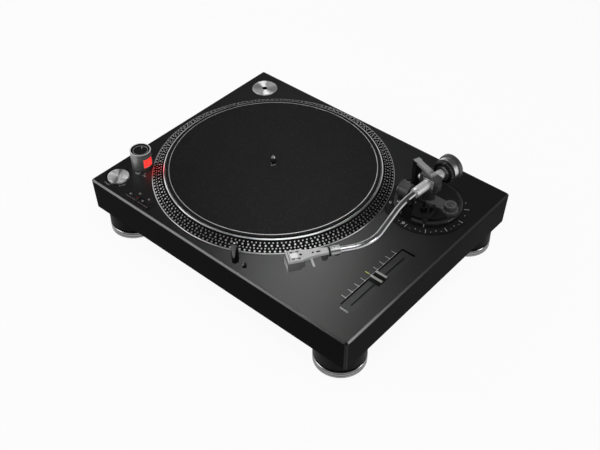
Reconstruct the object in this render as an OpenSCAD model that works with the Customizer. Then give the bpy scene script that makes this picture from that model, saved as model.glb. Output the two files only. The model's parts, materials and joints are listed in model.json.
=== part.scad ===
// Direct-drive turntable with an S-shaped tonearm, as an assembly of separate pieces.
// Millimetres. Origin on the floor under the middle of the cabinet, +Z up, front towards -Y.

/* [Cabinet] */
// Width of the cabinet
cab_w = 450; // [440:1:460]
// Depth of the cabinet, front to back
cab_d = 350; // [346:1:360]
// Height of the cabinet's sides
cab_h = 48.5; // [47:0.5:54]
// How far each side leans in from top to bottom
cab_taper = 1.3; // [0.5:0.1:2]
// Thickness of the side walls at the bottom
cab_wall = 4; // [3:0.5:5]
// Thickness of the deck
deck_t = 6; // [5.5:0.5:7]
// Width of the bevel round the deck
cab_bevel = 2.2; // [1:0.1:3]
// Radius of the upright corners
cab_corner = 4; // [3.5:0.5:8]
// Thickness of the bottom plate
base_t = 5; // [4.5:0.5:6]
// Radius of the screw posts
post_r = 6; // [5:0.5:7]

/* [Feet] */
// Height of the cabinet's lower edge above the floor
foot_h = 36; // [32:1:42]
// Distance from a foot's middle to the cabinet's nearer side
foot_side = 37.1; // [36:0.1:45]
// Distance from a foot's middle to the cabinet's front or back
foot_end = 36.5; // [36:0.1:43]
// Radius of a foot
foot_r = 34.3; // [30:0.1:35]
// Height of the metal ring on a foot
foot_ring_h = 10.5; // [8:0.5:12]
// Thickness of the rubber pad under a foot
foot_pad_t = 1; // [0.8:0.1:2]
// Radius of the levelling stud
foot_stud_r = 5; // [4:0.5:6]
// Length of the levelling stud above the foot
foot_stud_l = 13; // [11:1:15]

/* [Platter] */
// Distance from the cabinet's left side to the spindle
platter_left = 178.5; // [173:0.5:180]
// How far the spindle lies behind the cabinet's middle
platter_y = 1; // [0:0.5:3]
// Gap from the platter to the cabinet's back, seen from above
platter_back = 7.6; // [7.5:0.1:14]
// Least gap from the platter to the arm's height ring, seen from above
platter_ring_gap = 5.5; // [4:0.5:12]
// Gap between the deck and the platter's lower edge
platter_gap = 2.3; // [2:0.1:3]
// Height of the platter's upper edge above the deck
platter_top = 12.3; // [11.5:0.1:14]
// Width of the strobe rim from its lower edge to the polished ring
rim_slope = 16; // [14:0.5:17]
// Width of the polished ring
ring_w = 2.5; // [2:0.1:2.8]
// Thickness of the platter's plate
plate_t = 5; // [4:0.5:6]
// Width of the platter's heavy rim, measured underneath
rim_w = 18; // [14:1:22]
// Gap between the slipmat and the polished ring
mat_gap = 0.5; // [0.3:0.1:4]
// Thickness of the slipmat
mat_t = 2.8; // [2:0.1:4]
// Radius of the record spindle
spindle_r = 3.575; // [3.5:0.005:3.65]
// Height of the spindle's tip above the deck
spindle_top = 28; // [24:0.5:32]

/* [Motor] */
// Radius of the motor well in the deck
well_r = 62; // [60:1:66]
// Depth of the motor pan below the deck
pan_depth = 13; // [12:0.5:15]
// Thickness of the motor pan's metal
pan_t = 2.5; // [2:0.5:3]
// Radius of the spindle bearing
bearing_r = 9; // [8:0.5:11]
// Radius of the ring on which the coils stand
coil_ring_r = 47.5; // [46:0.5:49]
// Radius of a coil
coil_r = 7; // [6:0.5:8]
// Number of coils
coil_count = 12; // [9:3:15]
// Height of the rotor magnet
magnet_h = 8; // [7:0.5:8.5]

/* [Controls] */
// Distance from the cabinet's left side to the start button
start_left = 25; // [23:0.5:27]
// Distance from the cabinet's front to the start button
start_front = 28.5; // [27:0.5:30]
// Radius of the start button
start_r = 14.75; // [13:0.25:15.5]
// How far the start button stands above the deck
start_proud = 2; // [1.5:0.1:3]
// Length of a speed button
speed_l = 22; // [18:0.5:22.5]
// Width of a speed button
speed_w = 12.6; // [10:0.2:14]
// How far the speed buttons stand above the deck
speed_proud = 1.4; // [1.3:0.1:2.5]
// Distance from the cabinet's left side to the 33 button
speed_left = 71.4; // [70:0.2:71.6]
// Gap between the two speed buttons
speed_gap = 1.4; // [1:0.1:3]
// Distance from the cabinet's front to the speed buttons
speed_front = 14.5; // [13:0.5:16]
// Distance from the cabinet's left side to the strobe pillar
pillar_left = 31; // [30:0.5:33]
// Distance from the cabinet's front to the strobe pillar
pillar_front = 67; // [66:0.5:75]
// Radius of the strobe pillar
pillar_r = 14.4; // [13.5:0.1:15]
// Height of the strobe pillar with its dial
pillar_h = 27; // [26:0.5:32]
// Height of the power dial on the pillar
dial_h = 5.5; // [5:0.5:7]
// Width of the strobe lens
lens_w = 13.6; // [11:0.2:14]
// Height of the strobe lens
lens_h = 13.5; // [11:0.5:14]
// Radius of the 45 adapter
adapter_r = 19; // [18.8:0.1:19.2]
// Height of the 45 adapter
adapter_h = 10.2; // [9.5:0.1:11]
// Depth of the pocket that holds the adapter
pocket_d = 9; // [8:0.5:9.2]
// Distance from the cabinet's left side to the adapter
adapter_left = 34; // [32:0.5:36]
// Distance from the cabinet's back to the adapter
adapter_back = 34; // [32:0.5:37]

/* [Lamp] */
// How far the stylus lamp lies to the right of the spindle
lamp_off = 81; // [76:0.5:84]
// Distance from the cabinet's front to the stylus lamp and its button
lamp_front = 15.5; // [15:0.5:19]
// Radius of the stylus lamp
lamp_r = 4.85; // [4.5:0.05:5]
// Height of the raised stylus lamp above the deck
lamp_h = 30; // [26:0.5:31]
// Length of the lamp that stays in its sleeve
lamp_tail = 12; // [10:0.5:12]
// Distance from the lamp to its button
lamp_button_gap = 15.5; // [13.5:0.5:16]
// Radius of the lamp's button
lamp_button_r = 3; // [2.5:0.1:3.5]

/* [Tempo fader] */
// Distance from the cabinet's right side to the fader's middle
fader_right = 36; // [35:0.5:39]
// Distance from the cabinet's front to the fader's middle
fader_front = 106.5; // [105:0.5:109]
// Width of the fader's recess
fader_w = 20; // [19:0.5:22]
// Length of the fader's recess
fader_l = 125; // [124:1:130]
// Depth of the fader's recess
fader_d = 3; // [2:0.5:3.5]
// Travel of the fader to each side of its middle
fader_travel = 50; // [45:1:51]
// Width of the fader's knob
fader_knob_w = 17.5; // [15:0.5:18]
// Length of the fader's knob
fader_knob_l = 20; // [16:0.5:22]
// Height of the knob's ridges above the deck
fader_knob_h = 5.2; // [4:0.2:7]

/* [Tonearm] */
// Distance from the cabinet's right side to the arm's pivot
pivot_right = 69.2; // [68:0.2:70]
// Distance from the cabinet's back to the arm's pivot
pivot_back = 93.5; // [92:0.5:95]
// Turn of the resting arm away from the cabinet's sides
arm_turn = 3.5; // [2:0.5:5]
// Height of the arm's axis above the deck
arm_z = 42; // [42:0.5:44]
// Radius of the arm's tube
tube_r = 4.25; // [3.5:0.05:4.5]
// Wall of the arm's tube
tube_wall = 0.8; // [0.6:0.1:1.2]
// Distance from the pivot to the first bend
bend1_y = 33.5; // [33:0.5:40]
// Radius of the first bend
bend1_r = 170; // [150:5:200]
// Angle of the first bend
bend1_a = 15; // [12:0.5:17]
// Length of tube between the bends
middle_l = 40.6; // [36:0.2:44]
// Radius of the second bend
bend2_r = 59; // [50:1:66]
// Angle of the headshell to the arm's line
head_a = 31.5; // [28:0.5:34]
// Length of tube after the second bend
end_l = 20; // [18:0.5:22]
// Radius of the sleeves at the gimbal
sleeve_r = 6.5; // [6:0.1:6.8]
// Length of the front sleeve
sleeve_l = 29.5; // [24:0.5:30]
// Radius of the locking collar
collar_r = 6.3; // [6:0.1:7]
// Length of the locking collar
collar_l = 12; // [10:0.5:13]
// Length of the headshell
shell_l = 50.5; // [49:0.5:54]
// Width of the headshell
shell_w = 18.7; // [17.5:0.1:20]
// Thickness of the headshell
shell_t = 3.6; // [3:0.2:4]
// Height of the stylus tip above the deck
stylus_z = 22.5; // [22.3:0.1:24]

/* [Counterweight] */
// Radius of the rear shaft
shaft_r = 4.5; // [4:0.1:4.8]
// Distance from the pivot to the force dial
weight_y = 24; // [23.5:0.5:26]
// Thickness of the force dial
force_dial_t = 6.5; // [6:0.5:8]
// Radius of the force dial
force_dial_r = 15.2; // [14.5:0.1:16.5]
// Length of the counterweight behind the dial
weight_l = 15.5; // [14:0.5:20]
// Radius of the counterweight
weight_r = 16.5; // [15:0.1:17]
// Radius of the counterweight's rear rim
weight_rim_r = 18; // [17:0.1:19]

/* [Arm base] */
// Radius of the mounting flange on the deck
mount_r = 57; // [54:0.5:58]
// Thickness of the mounting flange
mount_t = 1.8; // [1.5:0.1:1.9]
// Outer radius of the height ring
height_ring_r = 45.5; // [44:0.5:46.5]
// Inner radius of the height ring
height_ring_in = 40.3; // [40:0.1:41]
// Height of the height ring
height_ring_h = 6.6; // [5:0.2:6.8]
// Radius of the arm base
arm_base_r = 39.5; // [38:0.5:39.5]
// Height of the arm base's top above the deck
arm_base_z = 12; // [11.5:0.5:13]
// Radius of the arm base's stem
stem_r = 24; // [20:0.5:25]
// Length of the arm base's stem below the deck
stem_l = 28; // [20:1:30]
// Radius of the height lock knob
lock_r = 10.5; // [9:0.5:11]
// Length of the height lock knob
lock_l = 16.5; // [14:0.5:17]
// Radius of the anti-skate knob
skate_r = 8.6; // [7.5:0.1:9]
// Height of the anti-skate knob
skate_h = 6.4; // [4:0.2:7]
// Length of the cue lever
cue_l = 24; // [20:1:25]
// Height of the bearing bracket above the deck
bracket_z = 57.5; // [57.5:0.5:60]
// Width of the bearing bracket's arm
bracket_w = 8; // [7:0.5:9]

/* [Fits] */
// Gap between pieces that move past each other
run_gap = 0.3; // [0.2:0.05:0.4]
// Gap between a shaft and its bearing
shaft_gap = 0.05; // [0.03:0.01:0.08]
// Gap between fixed pieces that slot together
slot_gap = 0.2; // [0.1:0.05:0.3]

/* [Hidden] */
$fn = 96;

// Cut-through margin, so that no cut ends on a face
cut = 1;
deck_z = foot_h + cab_h;
base_top = foot_h + base_t;
under_z = deck_z - deck_t;
in_w = cab_w - 2 * (cab_taper + cab_wall);
in_d = cab_d - 2 * (cab_taper + cab_wall);

// Places in plan, measured from the cabinet's sides
left = -cab_w / 2;
right = cab_w / 2;
front = -cab_d / 2;
back = cab_d / 2;
foot_x = right - foot_side;
foot_y = back - foot_end;
platter_x = left + platter_left;
start_x = left + start_left;
start_y = front + start_front;
speed33_x = left + speed_left;
speed45_x = speed33_x + speed_l + speed_gap;
speed_y = front + speed_front;
pillar_x = left + pillar_left;
pillar_y = front + pillar_front;
adapter_x = left + adapter_left;
adapter_y = back - adapter_back;
lamp_x = platter_x + lamp_off;
lamp_y = front + lamp_front;
fader_x = right - fader_right;
fader_y = front + fader_front;
pivot_x = right - pivot_right;
pivot_y = back - pivot_back;

// The platter fills the room between the deck's back edge and the arm's height ring
pivot_reach = norm([pivot_x - platter_x, pivot_y - platter_y]);
platter_r = min(back - platter_y - platter_back, pivot_reach - height_ring_r - platter_ring_gap);
ring_r = platter_r - rim_slope;
mat_r = ring_r - ring_w - mat_gap;

// Screws that hold the bottom plate and the motor pan
screw_r = 1.9;
screw_head_r = 3.6;
screw_head_h = 2.6;
screw_sink = 2.8;
base_screw_l = 12;
pan_screw_l = 7;
hole_r = screw_r + shaft_gap;
post_in = 12;
post_side_y = 20;
post_front_x = 95;
post_x = in_w / 2 - post_in;
post_y = in_d / 2 - post_in;
posts = concat(
    [for (sx = [-1, 1], sy = [-1, 1]) [sx * post_x, sy * post_y]],
    [for (sx = [-1, 1]) [sx * post_x, post_side_y]],
    [for (sx = [-1, 1], sy = [-1, 1]) [sx * post_front_x, sy * post_y]]
);

// Rear terminals
panel_w = 146;
panel_h = 30;
panel_depth = 15;
panel_wall = 2;
panel_lift = 1;
panel_room = 20;
panel_back = cab_d / 2 - cab_taper - 0.7;
panel_face = panel_back - panel_depth + panel_wall;
panel_z = base_top + panel_lift + panel_h / 2;
jack_x = [-50, -32];
jack_r = 4.15;
jack_flange_r = 6.4;
jack_flange_t = 1.5;
jack_l = 9;
jack_bore_r = 1.6;
jack_stem_r = 3.5;
jack_stem_l = 6;
ground_x = -8;
ground_r = 2;
ground_l = 10;
ground_collar_r = 4.5;
ground_collar_t = 1.5;
nut_r = 5;
nut_l = 5.5;
inlet_x = 42;
inlet_w = 31;
inlet_h = 24;
inlet_t = 2;
inlet_mouth_w = 24.5;
inlet_mouth_h = 17;
inlet_body_l = 18;
inlet_wall = 1.5;
inlet_pin = [2, 9, 5];
inlet_pin_gap = 7;

// Motor
motor = [platter_x, platter_y];
pan_wide = 8;
pan_flange_w = 8;
pan_r = well_r + pan_wide;
pan_flange_r = pan_r + pan_flange_w;
pan_screw_ring = pan_r + pan_flange_w / 2;
pan_floor = under_z - pan_depth;
axle_r = 4.4;
pin_lift = 0.1;
bearing_bore = axle_r + shaft_gap;
bearing_flange_r = 22;
bearing_flange_t = 3;
bearing_cup = 3;
bearing_foot = 2;
bearing_seat_w = 4;
bearing_seat_h = 6;
bearing_bottom = base_top + bearing_foot;
pad_t = 2;
pad_play = 0.1;
board_t = 1.6;
stator_r = 60;
stator_in = bearing_flange_r + 2;
coil_bore = 2.5;
coil_gap = 1.2;
magnet_r = 55;
magnet_in = 40;
plate_top = platter_top - 0.5;
plate_bottom = plate_top - plate_t;
hub_r = 22;
hub_drop = 3.8;
hub_bottom = plate_bottom - hub_drop;
spindle_flange_r = 18;
spindle_flange_t = 3;
bearing_top = deck_z + hub_bottom - spindle_flange_t - run_gap;
tip_l = 6;
tip_r = 1.6;
rim_lip = 1.2;
rim_lean = 4;

// Electronics inside
main_board_right = 130;
main_board_front = 130;
main_board_at = [right - main_board_right, front + main_board_front];
main_board_size = [110, 80];
// Place and size of each block of parts on the main board
main_board_parts = [
    [[-30, 15], [18, 12, 6]],
    [[5, 10], [14, 14, 3]],
    [[34, -12], [10, 30, 9]],
    [[-20, -20], [24, 8, 8]]
];
standoff_h = 8;
standoff_r = 3;
standoff_in = 6;
transformer_left = 65;
transformer_back = 113;
transformer_at = [left + transformer_left, back - transformer_back];
transformer_size = [62, 46, 32];
transformer_foot = [80, 24, 2];
coil_bulge = [36, 58, 24];

// Buttons
start_hole = start_r + run_gap;
start_ring_r = start_r + 3.2;
start_ring_d = 1.2;
button_t = 4;
stem_button_r = 2.5;
switch_size = [6, 6, 3.5];
plunger_r = 1.7;
plunger_h = 1.5;
button_travel = 1.2;
switch_play = 0.3;
control_drop = 7.4;
control_z = under_z - control_drop;
switch_top = control_z + switch_size[2] + plunger_h;
stem_bottom = switch_top + button_travel + switch_play;
control_left = 11;
control_right = 3;
control_front = 8;
control_back = 16;
control_post_in = 4;
post_room = 1;
control_x0 = start_x - control_left;
control_x1 = speed45_x + speed_l / 2 + control_right;
control_y0 = speed_y - control_front;
control_y1 = start_y + control_back;
control_posts = [
    [control_x0 + control_post_in, control_y1 - control_post_in],
    [control_x1 - control_post_in, control_y1 - control_post_in],
    [control_x1 - control_post_in, control_y0 + control_post_in]
];
dial_gap = run_gap;
dial_seam = pillar_h - dial_h;
dial_wall = 1.3;
dial_sink = 1.4;
dial_groove_r = 9.6;
dial_spigot_r = 8;
dial_spigot_l = 4;
pillar_wall = 2.4;
pillar_stub_r = 9;
pillar_top_t = 2.5;
pillar_hollow = deck_t + dial_seam - dial_gap - pillar_top_t;
lens_z = 4.5;
lens_t = 3.4;
lens_sink = 1.4;
adapter_bore = spindle_r + 0.1;
adapter_dish = 1.2;
adapter_edge = 0.8;
pocket_r = adapter_r + run_gap;
pocket_wall = 3;

// Lamp
lamp_travel = 24;
lamp_hole = lamp_r + run_gap;
sleeve_in = lamp_r + 0.1;
sleeve_out = lamp_r + 2.2;
sleeve_floor = 1.5;
lamp_sleeve_l = lamp_tail + lamp_travel - deck_t + 0.5 + sleeve_floor;
lamp_cap_l = 7.5;
lamp_button_top = 4.5;
lamp_button_flange = 1.2;
lamp_button_drop = 0.8;

// Fader
plate_flange = 3;
plate_flange_t = 2;
slot_w = 2;
slot_spare = 9;
slot_l = 2 * fader_travel + slot_spare;
stem_w = 1.4;
stem_len = 6;
fader_body_w = 11;
fader_body_h = 9;
fader_body_wall = 2;
fader_body_l = slot_l + 6;
stem_depth = deck_t + plate_flange_t + fader_body_h - fader_body_wall - run_gap;
knob_gap = 0.5;
ridge_w = 3.4;
ridge_at = 5.3;
knob_body_h = 2.8;
groove_w = 3.2;
groove_d = 1.6;
knob_edge = 1.2;

// Tonearm path in the arm's own frame, seen from above, with the pivot at the origin
path1 = [bend1_r * (1 - cos(bend1_a)), -bend1_y - bend1_r * sin(bend1_a)];
path2 = path1 + middle_l * [sin(bend1_a), -cos(bend1_a)];
bend2_c = path2 - bend2_r * [cos(bend1_a), sin(bend1_a)];
path3 = bend2_c + bend2_r * [cos(head_a), -sin(head_a)];
tube_in = tube_r - tube_wall;
// Straight lengths reach a little way into the bends and are a hair thicker there
tube_lap = 0.3;
tube_step = 0.02;

// Gimbal
yoke_w = 26;
yoke_d = 14;
yoke_below = 11;
yoke_above = 10.5;
yoke_open_w = 19.6;
yoke_open_h = 17.6;
yoke_pin_r = 2.5;
yoke_pin_l = 11;
side_pin_r = 1.5;
side_pin_in = 3;
cap_r = 4.5;
cap_t = 2.5;
block_w = yoke_open_w - 2 * run_gap;
block_d = 8;
block_h = 15;
sleeve_from = 3.5;
rear_sleeve_from = 3.5;
rear_sleeve_to = 22.5;
boss_r = 8.2;
bearing_screw_r = 2;
bearing_screw_head = 3;
bracket_a = 161.7;
bracket_r = 30;
bracket_post = [7, 10];
bracket_t = 4;
bracket_over = 5.5;

// Head
collar_from = end_l - 5;
collar_lip = 0.6;
washer_t = 2.5;
shell_from = collar_from + collar_l + washer_t;
neck_r = 4.6;
washer_r = 5.4;
shell_front = shell_from + shell_l;
shell_top = 3.8;
shell_bottom = shell_top - shell_t;
slot_from = 4.6;
shell_slot_l = 11;
shell_slot_w = 2.8;
shell_slot_s = 5.8;
shell_hole_r = 1.2;
shell_holes = [16.8, 31.7];
shell_key_at = 38.5;
shell_key_l = 5;
shell_key_w = 1.6;
shell_straight = 17;
shell_step = 4;
shell_step_w = 1.9;
shell_waist = 16;
shell_waist_w = 3.8;
root_y = 4.5;
root_r = 4;
root_w = 8;
root_drop = 6;
plug_l = 11;
plug_r = tube_in - tube_step - shaft_gap;
lift_at = 28.5;
lift_w = 2.6;
lift_l = 10;
lift_t = 1.4;
lift_tab = 7;
cart_l = 22;
cart_w = 16.5;
cart_h = 14;
cart_nose = 1;
stylus_l = 12;
stylus_w = 7;
stylus_h = 4;
cantilever_r = 0.35;
stylus_back = 3;

// Counterweight
bush_wall = 2.2;
bush_r = shaft_r + shaft_gap + bush_wall;
bush_l = 14;
weight_bore = bush_r + shaft_gap;
shaft_from = 17;
weight_rim_l = 7;
dial_front = 1.6;
dial_bore = shaft_r + 1.2;
weight_spigot_r = 11;
weight_spigot_l = 5;
shaft_end = weight_y + force_dial_t + weight_l + 1;

// Arm base
mount_hole = 30.5;
mount_tube_r = 30;
upstand_r = height_ring_in - shaft_gap;
upstand_w = 4;
ring_z = mount_t + run_gap;
ring_top = ring_z + height_ring_h;
arm_base_under = ring_top + 0.5;
stem_bore = stem_r + shaft_gap;
stem_wall = 4;
stem_cap = 3;
pin_room = 0.5;
lock_at = [-34.3, -15.5];
lock_z = 23.7;
lock_rim = 0.8;
lock_rim_t = 2.5;
lock_lug = 9;
lock_lug_t = 4.5;
lock_lug_rise = 3;
lock_pin_r = 2.5;
lock_lug_x = lock_at[0] + lock_l + run_gap;
skate_at = [34.2, -0.5];
skate_block_r = 11;
skate_block_z = arm_base_z + 4;
skate_pin_r = 2.5;
skate_pin_l = 5;
rest_y = 46;
rest_x = 0.5;
rest_l = 7;
rest_w = 11;
rest_drop = 6.2;
rest_plate_t = 2.5;
clip_x = 7.6;
clip_t = 3;
clip_w = 3.4;
clip_top = 6.5;
clip_pin_r = 1;
clip_axis_z = arm_z - 13;
ear_t = 1.5;
ear_h = 4.4;
lift_r = 25;
lift_bar_w = 3;
lift_bar_t = 2;
lift_post_a = -70;
lift_a0 = -129;
lift_a1 = -68;
lift_post_r = 2.2;
lift_post_l = 18;
lift_boss_r = 4.5;
lift_boss_h = 8;
lift_top = arm_z - sleeve_r - 6.3;
cue_at = [20, -20];
cue_z = 20.5;
cue_hub_r = 4;
cue_hub_l = 4.5;
cue_pin_r = 1.6;
cue_lug_t = 3.5;
cue_bar_r = 1.8;
cue_ball_r = 3.2;
cue_droop = 5;

// Puts its children on the deck at a place in plan
module deck(p = [0, 0]) {
    translate([p[0], p[1], deck_z]) children();
}

// Puts its children at the foot of the arm's pivot axis
module pivot() {
    deck([pivot_x, pivot_y]) children();
}

// Arm axis at the pivot, with local -Y along the arm's front sleeve and +Y along its rear shaft
module arm() {
    pivot() translate([0, 0, arm_z]) rotate([0, 0, -arm_turn]) children();
}

// Arm axis at the start of the end tube, with local -Y towards the headshell's front
module head() {
    arm() translate([path3[0], path3[1], 0]) rotate([0, 0, -head_a]) children();
}

// Cylinder along +Y
module rod(r, l) {
    rotate([-90, 0, 0]) cylinder(r = r, h = l);
}

// Tube that stands on the ground plane
module pipe(r_out, r_in, h) {
    difference() {
        cylinder(r = r_out, h = h);
        translate([0, 0, -cut]) cylinder(r = r_in, h = h + 2 * cut);
    }
}

// Box centred in plan, standing on the ground plane
module block(size) {
    translate([-size[0] / 2, -size[1] / 2, 0]) cube(size);
}

// One disc of the cabinet's outline, at a corner
module corner_disc(sx, sy, z, inset, r) {
    translate([sx * (cab_w / 2 - inset - r), sy * (cab_d / 2 - inset - r), z])
        cylinder(r = r, h = 0.01, $fn = 32);
}

module cabinet_outside() {
    hull()
        for (sx = [-1, 1], sy = [-1, 1]) {
            corner_disc(sx, sy, foot_h, cab_taper, cab_corner);
            corner_disc(sx, sy, deck_z - cab_bevel - 0.01, 0, cab_corner);
            corner_disc(sx, sy, deck_z - 0.01, cab_bevel, cab_corner - cab_bevel);
        }
}

module deck_holes() {
    deck(motor) translate([0, 0, -deck_t - cut]) cylinder(r = well_r, h = deck_t + 2 * cut);
    deck([adapter_x, adapter_y]) translate([0, 0, -pocket_d]) cylinder(r = pocket_r, h = pocket_d + cut);
    deck([start_x, start_y]) {
        translate([0, 0, -deck_t - cut]) cylinder(r = start_hole, h = deck_t + 2 * cut);
        translate([0, 0, -start_ring_d]) cylinder(r = start_ring_r, h = start_ring_d + cut);
    }
    for (x = [speed33_x, speed45_x])
        deck([x, speed_y]) translate([0, 0, -deck_t - cut])
            block([speed_l + 2 * run_gap, speed_w + 2 * run_gap, deck_t + 2 * cut]);
    deck([pillar_x, pillar_y]) translate([0, 0, -deck_t - cut])
        cylinder(r = pillar_stub_r + slot_gap, h = deck_t + 2 * cut);
    deck([lamp_x, lamp_y]) translate([0, 0, -deck_t - cut]) cylinder(r = lamp_hole, h = deck_t + 2 * cut);
    deck([lamp_x + lamp_button_gap, lamp_y]) translate([0, 0, -deck_t - cut])
        cylinder(r = lamp_button_r + run_gap, h = deck_t + 2 * cut);
    deck([fader_x, fader_y]) translate([0, 0, -deck_t - cut]) block([fader_w, fader_l, deck_t + 2 * cut]);
    pivot() translate([0, 0, -deck_t - cut]) cylinder(r = mount_hole, h = deck_t + 2 * cut);
    for (i = [0:3])
        deck(motor) rotate([0, 0, 45 + 90 * i]) translate([pan_screw_ring, 0, -deck_t - cut])
            cylinder(r = hole_r, h = pan_screw_l - pan_t + cut + slot_gap);
}

module top_cabinet() {
    color("#26272a") difference() {
        union() {
            difference() {
                cabinet_outside();
                translate([0, 0, foot_h - cut]) block([in_w, in_d, cab_h - deck_t + cut]);
            }
            for (p = posts)
                translate([p[0], p[1], base_top]) cylinder(r = post_r, h = under_z - base_top);
            for (p = control_posts)
                translate([p[0], p[1], control_z]) cylinder(r = standoff_r, h = under_z - control_z);
            deck([adapter_x, adapter_y]) translate([0, 0, -pocket_d - pocket_wall])
                cylinder(r = pocket_r + pocket_wall, h = pocket_d + pocket_wall - deck_t);
        }
        deck_holes();
        for (p = posts)
            translate([p[0], p[1], base_top - cut]) cylinder(r = hole_r, h = base_screw_l + cut);
        translate([0, panel_back - panel_depth, panel_z - panel_h / 2 - slot_gap])
            block([panel_w + 2 * slot_gap, 2 * panel_depth + panel_room, panel_h + 2 * slot_gap]);
    }
}

module bottom_base() {
    color("#1b1b1d") difference() {
        union() {
            translate([0, 0, foot_h]) block([in_w - 2 * slot_gap, in_d - 2 * slot_gap, base_t]);
            for (sx = [-1, 1], sy = [-1, 1])
                translate([sx * foot_x, sy * foot_y, foot_h])
                    cylinder(r = foot_stud_r + 5, h = foot_stud_l + 3);
            for (sx = [-1, 1], sy = [-1, 1])
                translate([
                    main_board_at[0] + sx * (main_board_size[0] / 2 - standoff_in),
                    main_board_at[1] + sy * (main_board_size[1] / 2 - standoff_in),
                    base_top
                ])
                    cylinder(r = standoff_r, h = standoff_h);
            translate([platter_x, platter_y, base_top])
                pipe(bearing_r + bearing_seat_w, bearing_r + slot_gap, bearing_foot + bearing_seat_h);
        }
        for (sx = [-1, 1], sy = [-1, 1])
            translate([sx * foot_x, sy * foot_y, foot_h - cut])
                cylinder(r = foot_stud_r + shaft_gap, h = foot_stud_l + cut + 0.5);
        for (p = posts)
            translate([p[0], p[1], foot_h - cut]) {
                cylinder(r = hole_r, h = base_t + 2 * cut);
                cylinder(r = screw_head_r + slot_gap, h = screw_sink + cut);
            }
    }
}

// Pan-head screw with its head's bearing face at the origin and its shank upwards
module screw(l) {
    cylinder(r = screw_r, h = l);
    difference() {
        translate([0, 0, -screw_head_h]) cylinder(r = screw_head_r, h = screw_head_h);
        for (a = [0, 90])
            rotate([0, 0, a]) translate([0, 0, -screw_head_h - cut]) block([4, 1, cut + 1.2]);
    }
}

module chassis_screws() {
    color("silver") {
        for (p = posts)
            translate([p[0], p[1], foot_h + screw_sink])
                screw(base_t - screw_sink + base_screw_l - slot_gap);
        for (i = [0:3])
            translate([platter_x, platter_y, under_z - pan_t]) rotate([0, 0, 45 + 90 * i])
                translate([pan_screw_ring, 0, 0]) screw(pan_screw_l);
    }
}

module terminal_panel() {
    color("#202022") difference() {
        translate([0, panel_back - panel_depth / 2, panel_z - panel_h / 2])
            block([panel_w, panel_depth, panel_h]);
        translate([0, panel_face + panel_depth / 2, panel_z - panel_h / 2 + panel_wall])
            block([panel_w - 2 * panel_wall, panel_depth, panel_h - 2 * panel_wall]);
        for (x = jack_x)
            translate([x, panel_face - panel_wall - cut, panel_z])
                rod(jack_stem_r + shaft_gap, panel_wall + 2 * cut);
        translate([ground_x, panel_face - panel_wall - cut, panel_z])
            rod(ground_r + shaft_gap, panel_wall + 2 * cut);
        translate([inlet_x, panel_face, panel_z - inlet_mouth_h / 2 - inlet_wall - slot_gap])
            block([
                inlet_mouth_w + 2 * (inlet_wall + slot_gap), 4 * panel_wall,
                inlet_mouth_h + 2 * (inlet_wall + slot_gap)
            ]);
    }
}

module rca_jacks() {
    color("gold")
        for (x = jack_x)
            translate([x, panel_face, panel_z]) difference() {
                union() {
                    rod(jack_r, jack_l);
                    rod(jack_flange_r, jack_flange_t);
                    translate([0, -jack_stem_l, 0]) rod(jack_stem_r, jack_stem_l);
                }
                translate([0, jack_flange_t, 0]) rod(jack_bore_r, jack_l);
            }
}

module ac_inlet() {
    color("#111111") translate([inlet_x, panel_face, panel_z]) {
        difference() {
            union() {
                translate([0, inlet_t / 2, -inlet_h / 2]) block([inlet_w, inlet_t, inlet_h]);
                translate([0, -inlet_body_l / 2, -inlet_mouth_h / 2 - inlet_wall])
                    block([inlet_mouth_w + 2 * inlet_wall, inlet_body_l, inlet_mouth_h + 2 * inlet_wall]);
            }
            translate([0, -inlet_body_l / 2 + inlet_wall + cut, -inlet_mouth_h / 2])
                block([inlet_mouth_w, inlet_body_l + 2 * cut, inlet_mouth_h]);
        }
        for (s = [-1, 0, 1])
            translate([
                s * inlet_pin_gap,
                inlet_wall - inlet_body_l + inlet_pin[1] / 2,
                (s == 0 ? 2 : -2) - inlet_pin[2] / 2
            ])
                block(inlet_pin);
    }
}

module ground_post() {
    color("silver") translate([ground_x, panel_face, panel_z]) {
        rod(ground_collar_r, ground_collar_t);
        translate([0, -jack_stem_l, 0]) rod(ground_r, jack_stem_l + ground_l);
    }
}

module ground_nut() {
    color("silver") translate([ground_x, panel_face + ground_collar_t + run_gap, panel_z]) difference() {
        rod(nut_r, nut_l);
        translate([0, -cut, 0]) rod(ground_r + shaft_gap, nut_l + 2 * cut);
        for (i = [0:11])
            rotate([0, 30 * i, 0]) translate([nut_r, -cut, 0]) rod(0.6, nut_l + 2 * cut);
    }
}

module motor_pan() {
    color("#8d9094") translate([platter_x, platter_y, 0]) difference() {
        rotate_extrude()
            polygon([
                [bearing_r + slot_gap, pan_floor - pan_t],
                [pan_r, pan_floor - pan_t],
                [pan_r, under_z - pan_t],
                [pan_flange_r, under_z - pan_t],
                [pan_flange_r, under_z],
                [pan_r - pan_t, under_z],
                [pan_r - pan_t, pan_floor],
                [bearing_r + slot_gap, pan_floor]
            ]);
        for (i = [0:3])
            rotate([0, 0, 45 + 90 * i]) translate([pan_screw_ring, 0, under_z - pan_t - cut])
                cylinder(r = hole_r, h = pan_t + 2 * cut);
    }
}

module bearing_housing() {
    color("#b59a5b") translate([platter_x, platter_y, 0]) difference() {
        union() {
            translate([0, 0, bearing_bottom])
                cylinder(r = bearing_r, h = bearing_top - bearing_bottom);
            translate([0, 0, pan_floor]) cylinder(r = bearing_flange_r, h = bearing_flange_t);
        }
        translate([0, 0, bearing_bottom + bearing_cup]) cylinder(r = bearing_bore, h = cab_h);
    }
}

module thrust_pad() {
    color("ivory") translate([platter_x, platter_y, bearing_bottom + bearing_cup])
        cylinder(r = axle_r, h = pad_t);
}

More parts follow.
